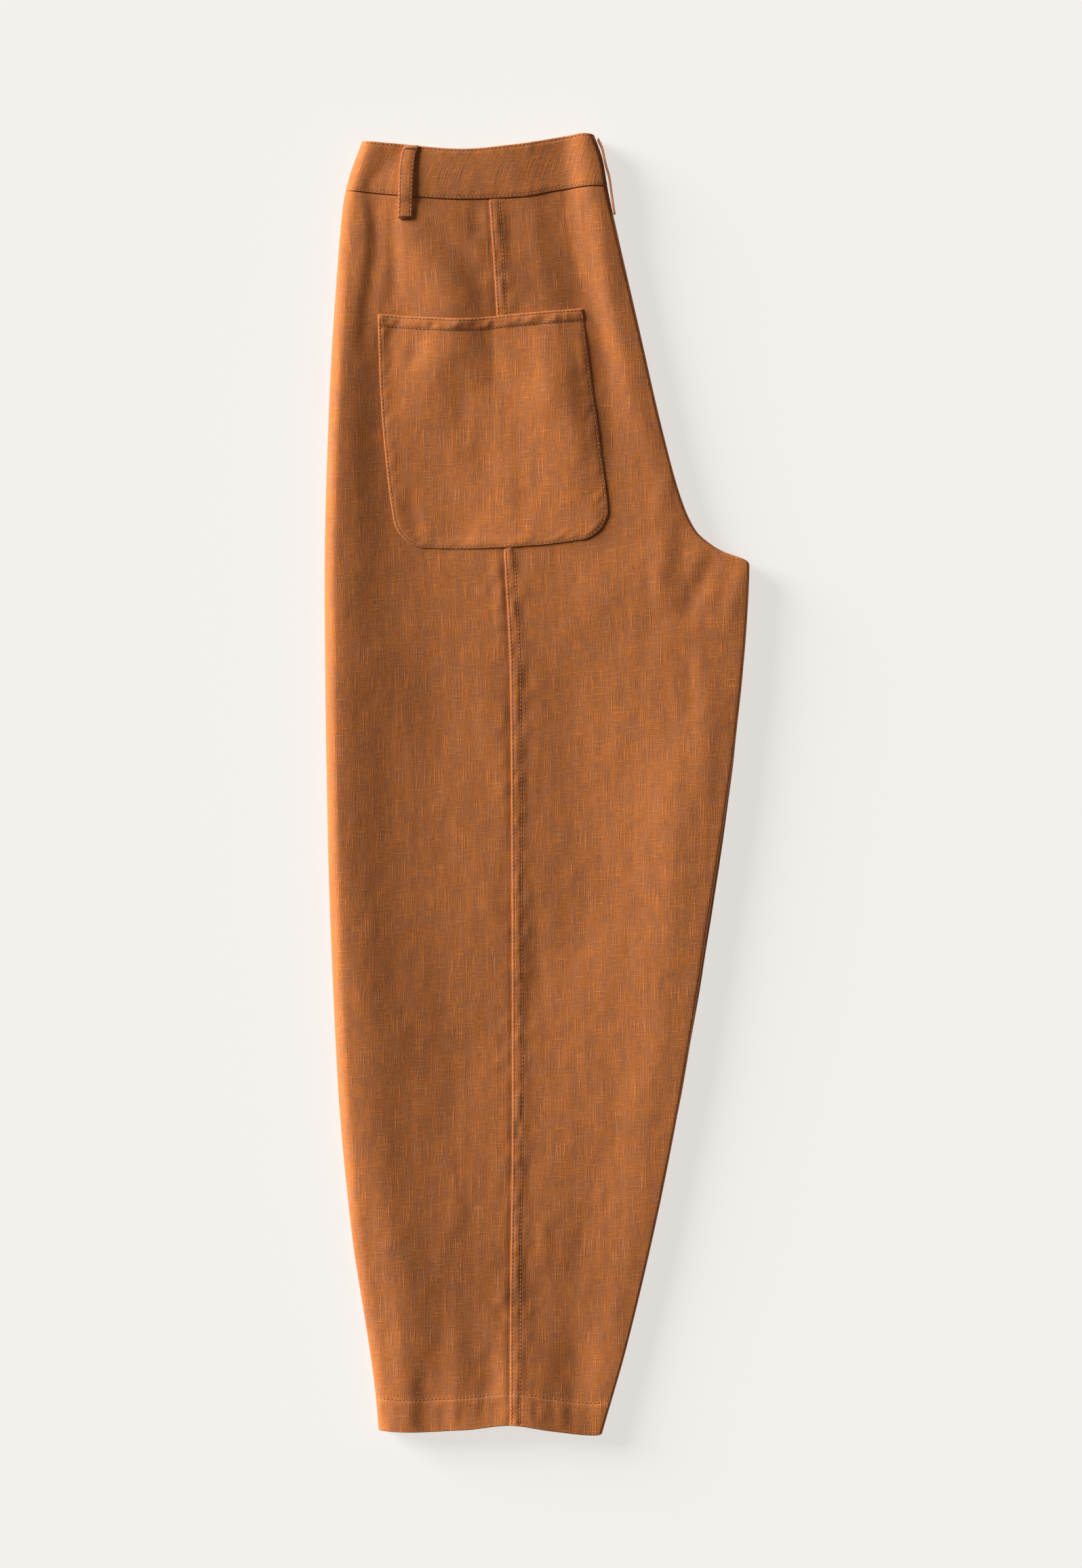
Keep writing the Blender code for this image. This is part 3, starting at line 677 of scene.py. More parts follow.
def mixed(tree, factor, first, second, blend="MIX"):
    """A colour between two, or one times the other."""
    node = tree.nodes.new("ShaderNodeMix")
    node.data_type = "RGBA"
    node.blend_type = blend
    for socket, value in zip((node.inputs[0], node.inputs[6], node.inputs[7]), (factor, first, second)):
        if hasattr(value, "is_output"):
            tree.links.new(value, socket)
        elif isinstance(value, tuple):
            socket.default_value = (*value, 1)
        else:
            socket.default_value = value
    return node.outputs[2]


def sparse(tree, value, start, end):
    """0 below start and 1 above end, so that only the strongest streaks are left."""
    node = tree.nodes.new("ShaderNodeMapRange")
    node.interpolation_type = "SMOOTHSTEP"
    tree.links.new(value, node.inputs["Value"])
    node.inputs["From Min"].default_value = start
    node.inputs["From Max"].default_value = end
    return node.outputs["Result"]


def linen(name, tone_and_shade=1.0):
    """Plain-weave linen: fine uneven threads both ways, thin slubs, mottled dye and paler worn edges; where
    the cloth's attribute goes below 0 it is painted shade.
    """
    finish, tree, shader = nodes_of(name)
    uv = tree.nodes.new("ShaderNodeTexCoord").outputs["UV"]
    grain = streaks(tree, uv, 0.62, 0.62, 1, False, 23.0)
    warp = streaks(tree, uv, 0.62, 9, 1, False, 0.0)
    weft = streaks(tree, uv, 0.62, 8, 1, True, 5.0)
    warp_slub = sparse(tree, streaks(tree, uv, 0.95, 24, 0, False, 11.0), 0.66, 0.82)
    weft_slub = sparse(tree, streaks(tree, uv, 0.90, 15, 0, True, 17.0), 0.67, 0.82)
    bands = streaks(tree, uv, 5.0, 70, 2, False, 31.0)
    mottle = streaks(tree, uv, 9, 16, 3, False, 43.0)

    threads = math_node(tree, "ADD", math_node(tree, "ADD", warp, weft), grain)
    slubs = math_node(tree, "ADD", warp_slub, weft_slub)
    shade = math_node(tree, "MULTIPLY_ADD", threads, 0.42, 0.21)
    shade = math_node(tree, "MULTIPLY_ADD", slubs, 0.20, shade)
    shade = math_node(tree, "MULTIPLY_ADD", bands, 0.32, shade)
    wear_and_shade = tree.nodes.new("ShaderNodeAttribute")
    wear_and_shade.attribute_name = "wear_and_shade"
    # The attribute adds paleness at worn edges and, where it is below 0, painted shade
    shade = math_node(tree, "MULTIPLY_ADD", wear_and_shade.outputs["Fac"], 0.28, shade)

    # A tone below 1 gives a darker copy of the linen, which is painted shade; above 1 a paler copy
    golden = tuple(tone_and_shade * c for c in GOLDEN_DYE)
    rosy = tuple(tone_and_shade * c for c in ROSY_DYE)
    dye = mixed(tree, sparse(tree, mottle, 0.36, 0.64), golden, rosy)
    tree.links.new(mixed(tree, 1.0, dye, shade, "MULTIPLY"), shader.inputs["Base Color"])

    height = math_node(tree, "MULTIPLY_ADD", slubs, 0.8, threads)
    relief = tree.nodes.new("ShaderNodeBump")
    relief.inputs["Strength"].default_value = 0.6
    relief.inputs["Distance"].default_value = 0.16 * MM
    tree.links.new(height, relief.inputs["Height"])
    tree.links.new(relief.outputs["Normal"], shader.inputs["Normal"])

    shader.inputs["Roughness"].default_value = 0.88
    shader.inputs["Specular IOR Level"].default_value = 0.2
    shader.inputs["Sheen Weight"].default_value = 0.12
    shader.inputs["Sheen Roughness"].default_value = 0.5
    shader.inputs["Sheen Tint"].default_value = (1.0, 0.8, 0.62, 1)
    return finish


def thread_finish(name):
    """Matt sewing thread, twisted, a shade lighter than the cloth."""
    finish, tree, shader = nodes_of(name)
    place = tree.nodes.new("ShaderNodeTexCoord").outputs["Object"]
    cloud = tree.nodes.new("ShaderNodeTexNoise")
    cloud.inputs["Scale"].default_value = 900
    tree.links.new(place, cloud.inputs["Vector"])
    ramp = tree.nodes.new("ShaderNodeValToRGB")
    ramp.color_ramp.elements[0].position = 0.3
    ramp.color_ramp.elements[0].color = (0.300, 0.096, 0.029, 1)
    ramp.color_ramp.elements[1].position = 0.7
    ramp.color_ramp.elements[1].color = (0.480, 0.185, 0.066, 1)
    tree.links.new(cloud.outputs[0], ramp.inputs["Fac"])
    tree.links.new(ramp.outputs["Color"], shader.inputs["Base Color"])
    shader.inputs["Roughness"].default_value = 0.7
    shader.inputs["Sheen Weight"].default_value = 0.2
    return finish


def plain_finish(name, colour, roughness):
    finish, _, shader = nodes_of(name)
    shader.inputs["Base Color"].default_value = (*colour, 1)
    shader.inputs["Roughness"].default_value = roughness
    return finish


def floor_finish(name):
    """Pale board that glows a little, as under a soft box, so that shadows on it stay light."""
    finish, _, shader = nodes_of(name)
    shader.inputs["Base Color"].default_value = (0.249, 0.243, 0.236, 1)
    shader.inputs["Roughness"].default_value = 1.0
    shader.inputs["Specular IOR Level"].default_value = 0.0
    shader.inputs["Emission Color"].default_value = (1.0, 0.970, 0.932, 1)
    shader.inputs["Emission Strength"].default_value = 0.70
    return finish


linen_cloth = linen("linen_cloth")
# The same linen made 14 % paler for the pocket
linen_pocket_paler = linen("linen_pocket", 1.14)
# Darker copy of the linen for the layers underneath: painted shade
linen_shaded = linen("linen_underneath_shaded", 0.94)
sewing_thread = thread_finish("sewing_thread")
# Near-black brown for the discs at the needle holes: painted shade where the thread dives into the cloth
needle_hole_shade = plain_finish("needle_hole_shade", (0.075, 0.024, 0.010), 0.95)


# Back panels


def settle(place, first_line, last_line, share):
    """x and down of one column at each share of the way between two cross lines."""
    down = FIRST_GUESS * np.asarray(share, float)
    for _ in range(SETTLE_ROUNDS):
        x = place(down)
        down = (1 - share) * through(first_line, x) + share * through(last_line, x)
    return place(down), down


def panel_shares():
    """Rows from the hem up to just under the waistband, closer together at the sewn rows."""
    span = 957.0
    hem = [0, 0.5, 1.2, 2.2, 3.6, 5.4, 7.4, 9.4, 11.4, 13.4, 15.4, 17.4, 19.4]
    hem += [21.2, 22.6, 23.6, 24.4, 25.2, 26.0, 27.0]
    leg = np.arange(28.6, span - 4, 2.02)
    top = np.array([span - 3, span - 1.8, span - 0.9, span, span + 2.5])
    return 1 - np.concatenate([hem, leg, top]) / span


def panel_grid(columns, extra):
    """Top skin of a panel. A column is (place, angle): where it runs, and how far it's rolled over."""
    shares = panel_shares()
    xs, downs, zs = [], [], []
    for place, angle in columns:
        x, down = settle(place, WAIST_SEAM, HEM_LINE, shares)
        z = cloth_height(x, down) + hem_relief(x, down) + extra(x, down)
        under_band = np.clip((through(WAIST_SEAM, x) - down + 1.2) / 1.2, 0, 1)
        z -= 0.5 * under_band
        zs.append(FOLD_Z + (z - FOLD_Z) * math.sin(angle))
        xs.append(x)
        downs.append(down)
    return np.stack([xs, LENGTH / 2 - np.array(downs), zs], axis=2)


def turned_up(grid, uv, wear_and_shade):
    """Adds the hem's inside ply: the cloth turns over at its end and runs back up inside."""
    inside_rows = 21
    normal = surface_normals(grid)
    end = grid[:, 0]
    outward = end - grid[:, 2]
    outward /= np.linalg.norm(outward, axis=1, keepdims=True)
    inner = (grid[:, :inside_rows] - normal[:, :inside_rows] * HEM_DROP)[:, ::-1]
    turn = (end - normal[:, 0] * HEM_DROP / 2 + outward * 0.35)[:, None]
    rows = [inner, turn, grid]
    uv_inner = uv[:, :inside_rows][:, ::-1] * [1, -1]
    uv_turn = uv[:, :1] * [1, 0]
    wear_and_shade_inner = wear_and_shade[:, :inside_rows][:, ::-1]
    return (
        np.concatenate(rows, axis=1),
        np.concatenate([uv_inner, uv_turn, uv], axis=1),
        np.concatenate([wear_and_shade_inner, wear_and_shade[:, :1], wear_and_shade], axis=1),
    )


def panel_wear_and_shade(grid, seam_side):
    """Paler where the cloth is doubled and rubs: hem, seam and folded edges. Darker in a band across the
    lower leg, which is painted shade.
    """
    x, down = grid[..., 0], LENGTH / 2 - grid[..., 1]
    above = through(HEM_LINE, x) - down
    hem = 0.8 * np.exp(-above / 2.0) + 0.45 * bump(above, HEM_DEPTH - 2, 2.5)
    seam = seam_side(x - back_seam(down))
    patchy = 0.6 + 0.4 * crumple(x, down, 9, 41.0)
    # The band taken off around 890 mm down is a darker band across the lower leg: painted shade
    return np.clip((hem + seam) * patchy, 0, 1) - 0.35 * bump(down, 890, 60)


def on_left_roll(angle):
    return lambda down: left_edge(down) + LEFT_ROLL * (1 - math.cos(angle))


def on_right_roll(angle):
    return lambda down: right_edge(down) - right_roll(down) * (1 - math.cos(angle)) / square_on(down)


def in_outer(share):
    def place(down):
        start = left_edge(down) + LEFT_ROLL
        return start + share * (back_seam(down) - 3.0 - start)

    return place


def beside_seam(offset):
    return lambda down: back_seam(down) + offset


def in_inner(share):
    def place(down):
        start = back_seam(down) + 15.0
        return start + share * (right_edge(down) - right_roll(down) / square_on(down) - start)

    return place


def roll_angles(count):
    return np.linspace(0, math.pi / 2, count + 1)


def outer_panel():
    """Runs from the side fold and tucks under the felled seam."""
    columns = [(on_left_roll(a), a) for a in roll_angles(12)]
    columns += [(in_outer(f), math.pi / 2) for f in np.linspace(0, 1, 56)[1:]]
    columns += [(beside_seam(d), math.pi / 2) for d in (-1.6, -0.6, 0.6, 3.0, 7.0)]

    def tuck(x, down):
        beside = x - back_seam(down)
        pull = 0.3 * noise_along(down, 11.0, 14.0) * bump(beside, -6, 4.5)
        return pull - 0.35 * bump(beside, -0.6, 1.8)

    grid = panel_grid(columns, tuck)
    uv = panel_uv(grid, 12 + 55)
    wear_and_shade = panel_wear_and_shade(grid, lambda beside: 0.25 * np.exp(beside / 2.5))
    grid, uv, wear_and_shade = turned_up(grid, uv, wear_and_shade)
    return grid_piece("outer_back_panel", grid, linen_cloth, uv, wear_and_shade, CLOTH)


def inner_panel():
    """Laps over the outer panel with its doubled seam strip, and rolls over at the centre back and inseam."""
    offsets = (0.0, 0.35, 0.8, 1.4, 2.0, 2.8, 3.8, 4.8, 5.8, 6.6, 7.2, 7.8, 8.4, 9.0, 9.8, 11.2, 13.0)
    columns = [(beside_seam(d), math.pi / 2) for d in offsets]
    columns += [(in_inner(f), math.pi / 2) for f in np.linspace(0, 1, 62)[:-1]]
    columns += [(on_right_roll(a), a) for a in roll_angles(12)[::-1]]

    def strip(x, down):
        beside = x - back_seam(down)
        rounded = 0.35 * np.exp(-np.clip(beside, 0, None) / 0.3)
        return seam_strip(x, down) - rounded

    grid = panel_grid(columns, strip)
    uv = panel_uv(grid, 0)
    wear_and_shade = panel_wear_and_shade(grid, lambda beside: np.exp(-beside / 1.1) + 0.35 * bump(beside, 7.8, 1.6))
    grid, uv, wear_and_shade = turned_up(grid, uv, wear_and_shade)
    return grid_piece("inner_back_panel", grid, linen_cloth, uv, wear_and_shade, CLOTH)


def panel_uv(grid, seam_column):
    """Cloth coordinates: across from the seam and up from the hem, so that the weave follows the cloth."""
    across = lengths_along(grid, 0)
    across = across - across[seam_column][None, :]
    up = lengths_along(grid, 1)[seam_column]
    lean = grid[..., 1] - grid[seam_column][None, :, 1]
    return np.stack([across, up[None, :] + lean], axis=2)


# Waistband


def band_grid():
    columns = [(on_left_roll(a), a) for a in roll_angles(10)]

    def full(share):
        def place(down):
            start = left_edge(down) + LEFT_ROLL
            return start + share * (right_edge(down) - right_roll(down) / square_on(down) - start)

        return place

    columns += [(full(f), math.pi / 2) for f in np.linspace(0, 1, 118)[1:-1]]
    columns += [(on_right_roll(a), a) for a in roll_angles(10)[::-1]]
    near_foot = [0, 0.4, 0.9, 1.6, 2.4, 3.4, 4.8]
    near_top = [33.6, 35, 36, 36.8, 37.6, 38.3, 38.8, BAND_DEPTH]
    depth = np.array([*near_foot, *np.arange(6.2, 33, 1.4), *near_top])
    shares = 1 - depth / BAND_DEPTH
    xs, downs, zs = [], [], []
    for place, angle in columns:
        x, down = settle(place, BAND_TOP, WAIST_SEAM, shares)
        from_foot = depth
        from_top = BAND_DEPTH - depth
        beside_rows = bump(from_foot, 4.0, 3.5) + bump(from_top, 4.0, 3.5)
        pucker = noise_along(x + 300, 6.5, 51.0) * 0.22 * beside_rows
        rows = 0.3 * bump(from_foot, BAND_ROW, 0.8) + 0.3 * bump(from_top, BAND_ROW, 0.8)
        rounded = 0.45 * np.exp(-from_foot / 0.35) + 0.6 * np.exp(-from_top / 0.4)
        z = cloth_height(x, down) + BAND_RISE - rows - rounded + pucker
        zs.append(FOLD_Z + (z - FOLD_Z) * math.sin(angle))
        xs.append(x)
        downs.append(down)
    return np.stack([xs, LENGTH / 2 - np.array(downs), zs], axis=2)


def waistband():
    grid = band_grid()
    uv = np.stack([lengths_along(grid, 0), lengths_along(grid, 1)], axis=2)
    rows = grid.shape[1]
    edge = np.minimum(np.arange(rows), np.arange(rows)[::-1])[None, :]
    wear_and_shade = np.broadcast_to(0.7 * np.exp(-edge / 1.6), grid.shape[:2])
    wear_and_shade = np.clip(wear_and_shade * (0.6 + 0.5 * crumple(grid[..., 0], grid[..., 1], 8, 43.0)), 0, 1)
    return grid_piece("waistband", grid, linen_cloth, uv, wear_and_shade, 1.5)


# Patch pocket


def pocket_base(x, down):
    """Height of the cloth and seam that the pocket lies on, with its own creases."""
    y = LENGTH / 2 - down
    beside = np.abs(x - back_seam(down) - SEAM_STRIP_WIDTH / 2)
    over_strip = 0.25 * np.clip((SEAM_STRIP_WIDTH / 2 + 5 - beside) / 6, 0, 1)
    soft = 0.28 * crumple(x, y, 24, 61.0) + 0.1 * crumple(x, y, 9, 62.0)
    return large_form(x, down) + over_strip + crease_relief(x, y, POCKET_CREASES) + soft


def pocket_inset(row):
    """How far the pocket's rounded lower corners pull its sides in."""
    near_foot = np.maximum(0.0, POCKET_CORNER - (POCKET_HEIGHT - row))
    return POCKET_CORNER - np.sqrt(np.maximum(POCKET_CORNER**2 - near_foot**2, 0))


def pocket_place(share_across, row):
    """x and down at a share of the way across the pocket, this far below its mouth."""
    share = row / POCKET_HEIGHT
    inset = pocket_inset(row)
    x = POCKET_MOUTH[0].x + share_across * POCKET_WIDTH
    for _ in range(SETTLE_ROUNDS):
        down = (1 - share) * through(POCKET_MOUTH, x) + share * through(POCKET_FOOT, x)
        left = through(POCKET_LEFT, down) + inset
        right = through(POCKET_RIGHT, down) - inset
        x = left + share_across * (right - left)
    return x, down


def pocket():
    width = POCKET_WIDTH
    near = np.array([0, 0.35, 0.8, 1.5, 2.3, 3.4, 4.8])
    middle = np.linspace(6.4, width - 6.4, 92)
    across = np.concatenate([near, middle, width - near[::-1]]) / width
    top = np.array([0, 0.4, 0.9, 1.5, 2.2, 3.2, 4.4, 5.6, 6.8, 7.8, 8.5, 9.1, 9.8, 10.8])
    low = POCKET_HEIGHT - POCKET_CORNER * (1 - np.cos(np.linspace(math.pi / 2, 0, 22)))
    rows = np.concatenate([top, np.arange(12.4, POCKET_HEIGHT - POCKET_CORNER - 1, 1.6), low])[::-1]
    share, row = np.meshgrid(across, rows, indexing="ij")
    x, down = pocket_place(share, row)
    edge = edge_distance(share, row, width)
    from_top = row
    hem_step = 0.45 * np.clip((POCKET_HEM + 0.7 - from_top) / 1.4, 0, 1)
    ripple = noise_along(x + 400, 5.5, 71.0) * 0.42 * bump(from_top, 5.2, 3.2)
    hem_rows = 0.32 * (bump(from_top, POCKET_EDGE_ROW, 0.8) + bump(from_top, POCKET_HEM_ROW, 0.8))
    side_row = 0.3 * bump(edge, POCKET_EDGE_ROW, 0.8) * (from_top > 3)
    pucker = noise_along(x + down, 8.0, 72.0) * 0.22 * bump(edge, 5.0, 3.5)
    turned = 0.2 * np.clip((9 - edge) / 3, 0, 1)
    rounded = 0.55 * np.exp(-edge / 0.4)
    z = pocket_base(x, down) + POCKET_RISE + hem_step + ripple - hem_rows - side_row + pucker
    z += turned * 0.6 - rounded
    grid = np.stack([x, LENGTH / 2 - down, z], axis=2)
    uv = np.stack([x, -down], axis=2) + [600, 300]
    wear_and_shade = 0.75 * np.exp(-edge / 1.3) + 0.2 * bump(edge, 8.5, 1.5) + 0.3 * bump(from_top, POCKET_HEM, 1.5)
    wear_and_shade = np.clip(wear_and_shade * (0.6 + 0.5 * crumple(x, down, 7, 44.0)), 0, 1)
    return grid_piece("patch_pocket", grid, linen_pocket_paler, uv, wear_and_shade, 0.7)


def edge_distance(share, row, width):
    """Distance in from the pocket's own outline."""
    side = np.minimum(share, 1 - share) * (width - 2 * pocket_inset(row))
    corner_x = POCKET_CORNER - (side + pocket_inset(row))
    corner_y = POCKET_CORNER - (POCKET_HEIGHT - row)
    in_corner = (corner_x > 0) & (corner_y > 0)
    round_off = POCKET_CORNER - np.hypot(np.maximum(corner_x, 0), np.maximum(corner_y, 0))
    straight = np.minimum.reduce([side + pocket_inset(row), POCKET_HEIGHT - row])
    return np.minimum(np.where(in_corner, round_off, straight), row)


# Belt loops


def side_loop_grid():
    top, foot = SIDE_LOOP[0].down, SIDE_LOOP[-1].down
    middle = np.linspace(top + 2.2, foot - 1.2, 52)
    rows = np.concatenate([[top, top + 0.5, top + 1.2], middle, [foot - 0.5, foot]])[::-1]
    half = np.array([0.12, 0.24, 0.34, 0.4, 0.45, 0.485, 0.5])
    across = np.concatenate([-half[::-1], [0], half])
    centre = through(SIDE_LOOP, rows)
    x = centre[None, :] + across[:, None] * LOOP_WIDTH
    down = np.broadcast_to(rows[None, :], x.shape)
    share = (rows - top) / (foot - top)
    stand = LOOP_BOW * np.clip(4 * share * (1 - share), 0, 1) ** 0.8
    over_band = BAND_RISE * np.clip((54 - rows) / 5, 0, 1)
    bed = cloth_height(x, down).max(axis=0)
    bed = np.convolve(np.pad(bed, 4, mode="edge"), np.ones(9) / 9, "valid")
    crown = 0.35 * (1 - (2 * across) ** 2) - 0.25 * (np.exp(-((0.5 - np.abs(across)) * LOOP_WIDTH) / 0.25))
    rows_in = -0.22 * bump((0.5 - np.abs(across)) * LOOP_WIDTH, 1.3, 0.6)
    z = (bed + over_band + stand)[None, :] + (crown + rows_in)[:, None] + LOOP_WALL + 0.25
    ends = np.exp(-(rows - top) / 0.5) + np.exp(-(foot - rows) / 0.5)
    z = z - 0.5 * ends[None, :]
    z = z + 0.12 * crumple(x, down, 5, 81.0)
    return np.stack([x, LENGTH / 2 - down, z], axis=2)


def side_loop():
    grid = side_loop_grid()
    wear_and_shade = np.broadcast_to(
        0.6 * np.exp(-np.minimum(np.arange(15), np.arange(15)[::-1]) / 1.5)[:, None], grid.shape[:2]
    ).copy()
    return grid_piece("side_belt_loop", grid, linen_cloth, None, wear_and_shade, LOOP_WALL)


def centre_loop():
    """Stands on edge at the centre back fold, so that only its edge shows from above."""
    rows = np.linspace(CENTRE_LOOP[0].down, CENTRE_LOOP[-1].down, 54)
    outer = through(CENTRE_LOOP, rows)
    lift = np.array([0, 0.03, 0.08, 0.16, 0.3, 0.5, 0.7, 0.84, 0.92, 0.97, 1])
    heights = CENTRE_LOOP_BOTTOM + lift * LOOP_WIDTH
    crown = 0.3 * (1 - (2 * lift - 1) ** 2) - 0.2 * np.exp(-np.minimum(lift, 1 - lift) * LOOP_WIDTH / 0.25)
    x = outer[None, :] + crown[:, None] - 0.25
    y = np.broadcast_to(LENGTH / 2 - rows[None, :], x.shape)
    z = np.broadcast_to(heights[:, None], x.shape)
    grid = np.stack([x, y, z], axis=2)[::-1][:, ::-1]
    wear_and_shade = np.full(grid.shape[:2], 0.25)
    return grid_piece("centre_back_belt_loop", grid, linen_cloth, None, wear_and_shade, LOOP_WALL)


# Layers underneath


def outline(first_line, last_line, first_in, last_in):
    """Plan outline of the layers, clockwise from the top left, with the kind of edge at each point."""
    left_down = np.linspace(0, 1, 260)
    points, kinds = [], []

    def side(edge, order, kind):
        start = settle(edge, first_line, last_line, np.array([0.0]))[1][0] + first_in
        end = settle(edge, first_line, last_line, np.array([1.0]))[1][0] - last_in
        down = start + (end - start) * left_down[:: 1 if order else -1]
        points.append(np.stack([edge(down), down], axis=1))
        kinds.append(np.full((len(down), 2), kind, float))

    def across(line, order, kind, in_by):
        share = np.array([0.0 if line is first_line else 1.0])
        x0 = settle(left_edge, first_line, last_line, share)[0][0]
        x1 = settle(right_edge, first_line, last_line, share)[0][0]
        x = np.linspace(x0, x1, 60)[1:-1]
        if not order:
            x = x[::-1]
        points.append(np.stack([x, through(line, x) + in_by], axis=1))
        kinds.append(np.full((len(x), 2), kind, float))

    across(first_line, True, (0, 1), first_in)
    side(right_edge, True, (1, 0))
    across(last_line, False, (0, 2), -last_in)
    side(left_edge, False, (2, 0))
    return np.concatenate(points), np.concatenate(kinds)


def under_layers(name, first_line, last_line):
    """The layers under the top leg as one closed form, whose edges show each folded ply."""
    plan, kind = outline(first_line, last_line, 0.15, 0.15)
    x, down = plan[:, 0], plan[:, 1]
    ahead, behind = np.roll(plan, -1, axis=0), np.roll(plan, 1, axis=0)
    tangent = ahead - behind
    tangent /= np.linalg.norm(tangent, axis=1, keepdims=True)
    inward = np.stack([-tangent[:, 1], tangent[:, 0]], axis=1)
    crotch = np.clip((down - CROTCH_BLEND_FROM) / CROTCH_BLEND, 0, 1)
    steps = np.linspace(0, len(PLIES) - 1, 34)
    index = np.arange(len(PLIES), dtype=float)
    table = np.array(PLIES, float)
    z = hermite(index, table[:, 0], steps)
    kinds = Ply._fields[1:]
    insets = {edge: hermite(index, table[:, k], steps) for k, edge in enumerate(kinds, 1)}
    lower = np.clip((LOWER_LEG_TOP - z) / LOWER_LEG_BLEND, 0, 1)
    wobble = np.array([noise.noise(Vector((a / 40, b / 40, 5.0))) for a, b in plan]) * 0.5
    grid = np.zeros((len(plan), len(z), 3))
    for k in range(len(z)):
        leg, rise, hem, waist = (insets[edge][k] for edge in kinds)
        right = crotch * leg + (1 - crotch) * rise - lower[k] * peek(down)
        left = leg + LOWER_LEG_SHIFT * lower[k]
        inset = np.where(kind[:, 0] == 1, right, np.where(kind[:, 0] == 2, left, 0))
        inset = np.where(kind[:, 1] == 1, waist, np.where(kind[:, 1] == 2, hem, inset))
        inset = smooth_loop(inset, 2) + wobble * lower[k] * 0.6
        grid[:, k, 0] = x + inward[:, 0] * inset
        grid[:, k, 1] = LENGTH / 2 - (down + inward[:, 1] * inset)
        grid[:, k, 2] = z[k]
    closed = np.concatenate([grid, grid[:1]])
    uv = np.stack([lengths_along(closed, 0), lengths_along(closed, 1)], axis=2)
    # In the darker copy of the linen, which is painted shade
    piece = grid_piece(name, closed, linen_shaded, uv, np.zeros(closed.shape[:2]))
    bpy.ops.object.mode_set(mode="EDIT")
    bpy.ops.mesh.select_all(action="SELECT")
    bpy.ops.mesh.remove_doubles(threshold=0.00001)
    bpy.ops.mesh.select_all(action="DESELECT")
    bpy.ops.mesh.select_non_manifold(extend=False)
    bpy.ops.mesh.fill()
    bpy.ops.mesh.select_all(action="SELECT")
    bpy.ops.mesh.normals_make_consistent(inside=False)
    bpy.ops.object.mode_set(mode="OBJECT")
    bpy.ops.object.shade_smooth_by_angle(angle=math.radians(50))
    return piece


def smooth_loop(values, times):
    for _ in range(times):
        values = (np.roll(values, 1) + values + np.roll(values, -1)) / 3
    return values


# Sewing


def modelled_stitch():
    """One stitch: a short plump thread that dips at both ends, 1 long and 1 wide."""
    bpy.ops.object.select_all(action="DESELECT")
    bpy.ops.mesh.primitive_uv_sphere_add(segments=6, ring_count=5, radius=0.5)
    stitch = bpy.context.object
    bpy.ops.object.mode_set(mode="EDIT")
    bpy.ops.mesh.select_all(action="SELECT")
    bpy.ops.transform.rotate(value=math.pi / 2, orient_axis="Y", center_override=(0, 0, 0))
    bpy.ops.object.mode_set(mode="OBJECT")
    verts = np.array([v.co for v in stitch.data.vertices])
    faces = [tuple(p.vertices) for p in stitch.data.polygons]
    bpy.data.objects.remove(stitch)
    return verts, faces


# Model of the dark disc that stands at a needle hole as painted shade
def modelled_hole_shade_disc():
    bpy.ops.object.select_all(action="DESELECT")
    bpy.ops.mesh.primitive_circle_add(vertices=6, radius=0.5, fill_type="NGON")
    hole = bpy.context.object
    verts = np.array([v.co for v in hole.data.vertices])
    faces = [tuple(p.vertices) for p in hole.data.polygons]
    bpy.data.objects.remove(hole)
    return verts, faces


STITCH = modelled_stitch()
HOLE_SHADE_DISC = modelled_hole_shade_disc()


class Sewing:
    """Collects the stitches of one piece and the dark discs at its needle holes, which are painted shade."""

    def __init__(self, name):
        self.name = name
        self.verts, self.faces, self.finish = [], [], []
        self.count = 0

    def put(self, model, centre, frame_axes, size, finish):
        verts, faces = model
        placed = centre + (verts * size) @ frame_axes
        self.verts.append(placed)
        self.faces += [tuple(self.count + k for k in face) for face in faces]
        self.finish += [finish] * len(faces)
        self.count += len(verts)

    def row(self, path, pitch=STITCH_PITCH, length=STITCH_LENGTH, width=STITCH_WIDTH, lift=0.10):
        """Stitches along a row of points on the cloth, with a dark disc of painted shade at the needle hole
        between each two.
        """
        path = np.asarray(path, float)
        along = np.concatenate([[0], np.cumsum(np.linalg.norm(np.diff(path, axis=0), axis=1))])
        count = max(1, int(along[-1] / pitch))
        pitch = along[-1] / count

        def at(distance):
            return np.array([np.interp(distance, along, path[:, k]) for k in range(3)])

        for n in range(count):
            start, end = at(n * pitch), at((n + 1) * pitch)
            axis = end - start
            axis /= np.linalg.norm(axis)
            side = np.cross([0, 0, 1], axis)
            side /= max(np.linalg.norm(side), 1e-6)
            up = np.cross(axis, side)
            axes = np.array([axis, side, up])
            middle = (start + end) / 2 + up * lift
            self.put(STITCH, middle, axes, (length * pitch / STITCH_PITCH, width, STITCH_HEIGHT), 0)
            # A dark disc at the needle hole: painted shade
            self.put(HOLE_SHADE_DISC, end + up * 0.12, axes, (*NEEDLE_HOLE_SHADE, 1), 1)

    def done(self):
        mesh = bpy.data.meshes.new(self.name)
        mesh.from_pydata(np.concatenate(self.verts) * MM, [], self.faces)
        mesh.materials.append(sewing_thread)
        mesh.materials.append(needle_hole_shade)
        mesh.polygons.foreach_set("material_index", self.finish)
        mesh.shade_smooth()
        piece = bpy.data.objects.new(self.name, mesh)
        bpy.context.scene.collection.objects.link(piece)
        return piece


def on_cloth(x, down, height):
    return np.stack([x, LENGTH / 2 - down, height(x, down)], axis=1)


def seam_height(x, down):
    return cloth_height(x, down) + seam_strip(x, down) + hem_relief(x, down)


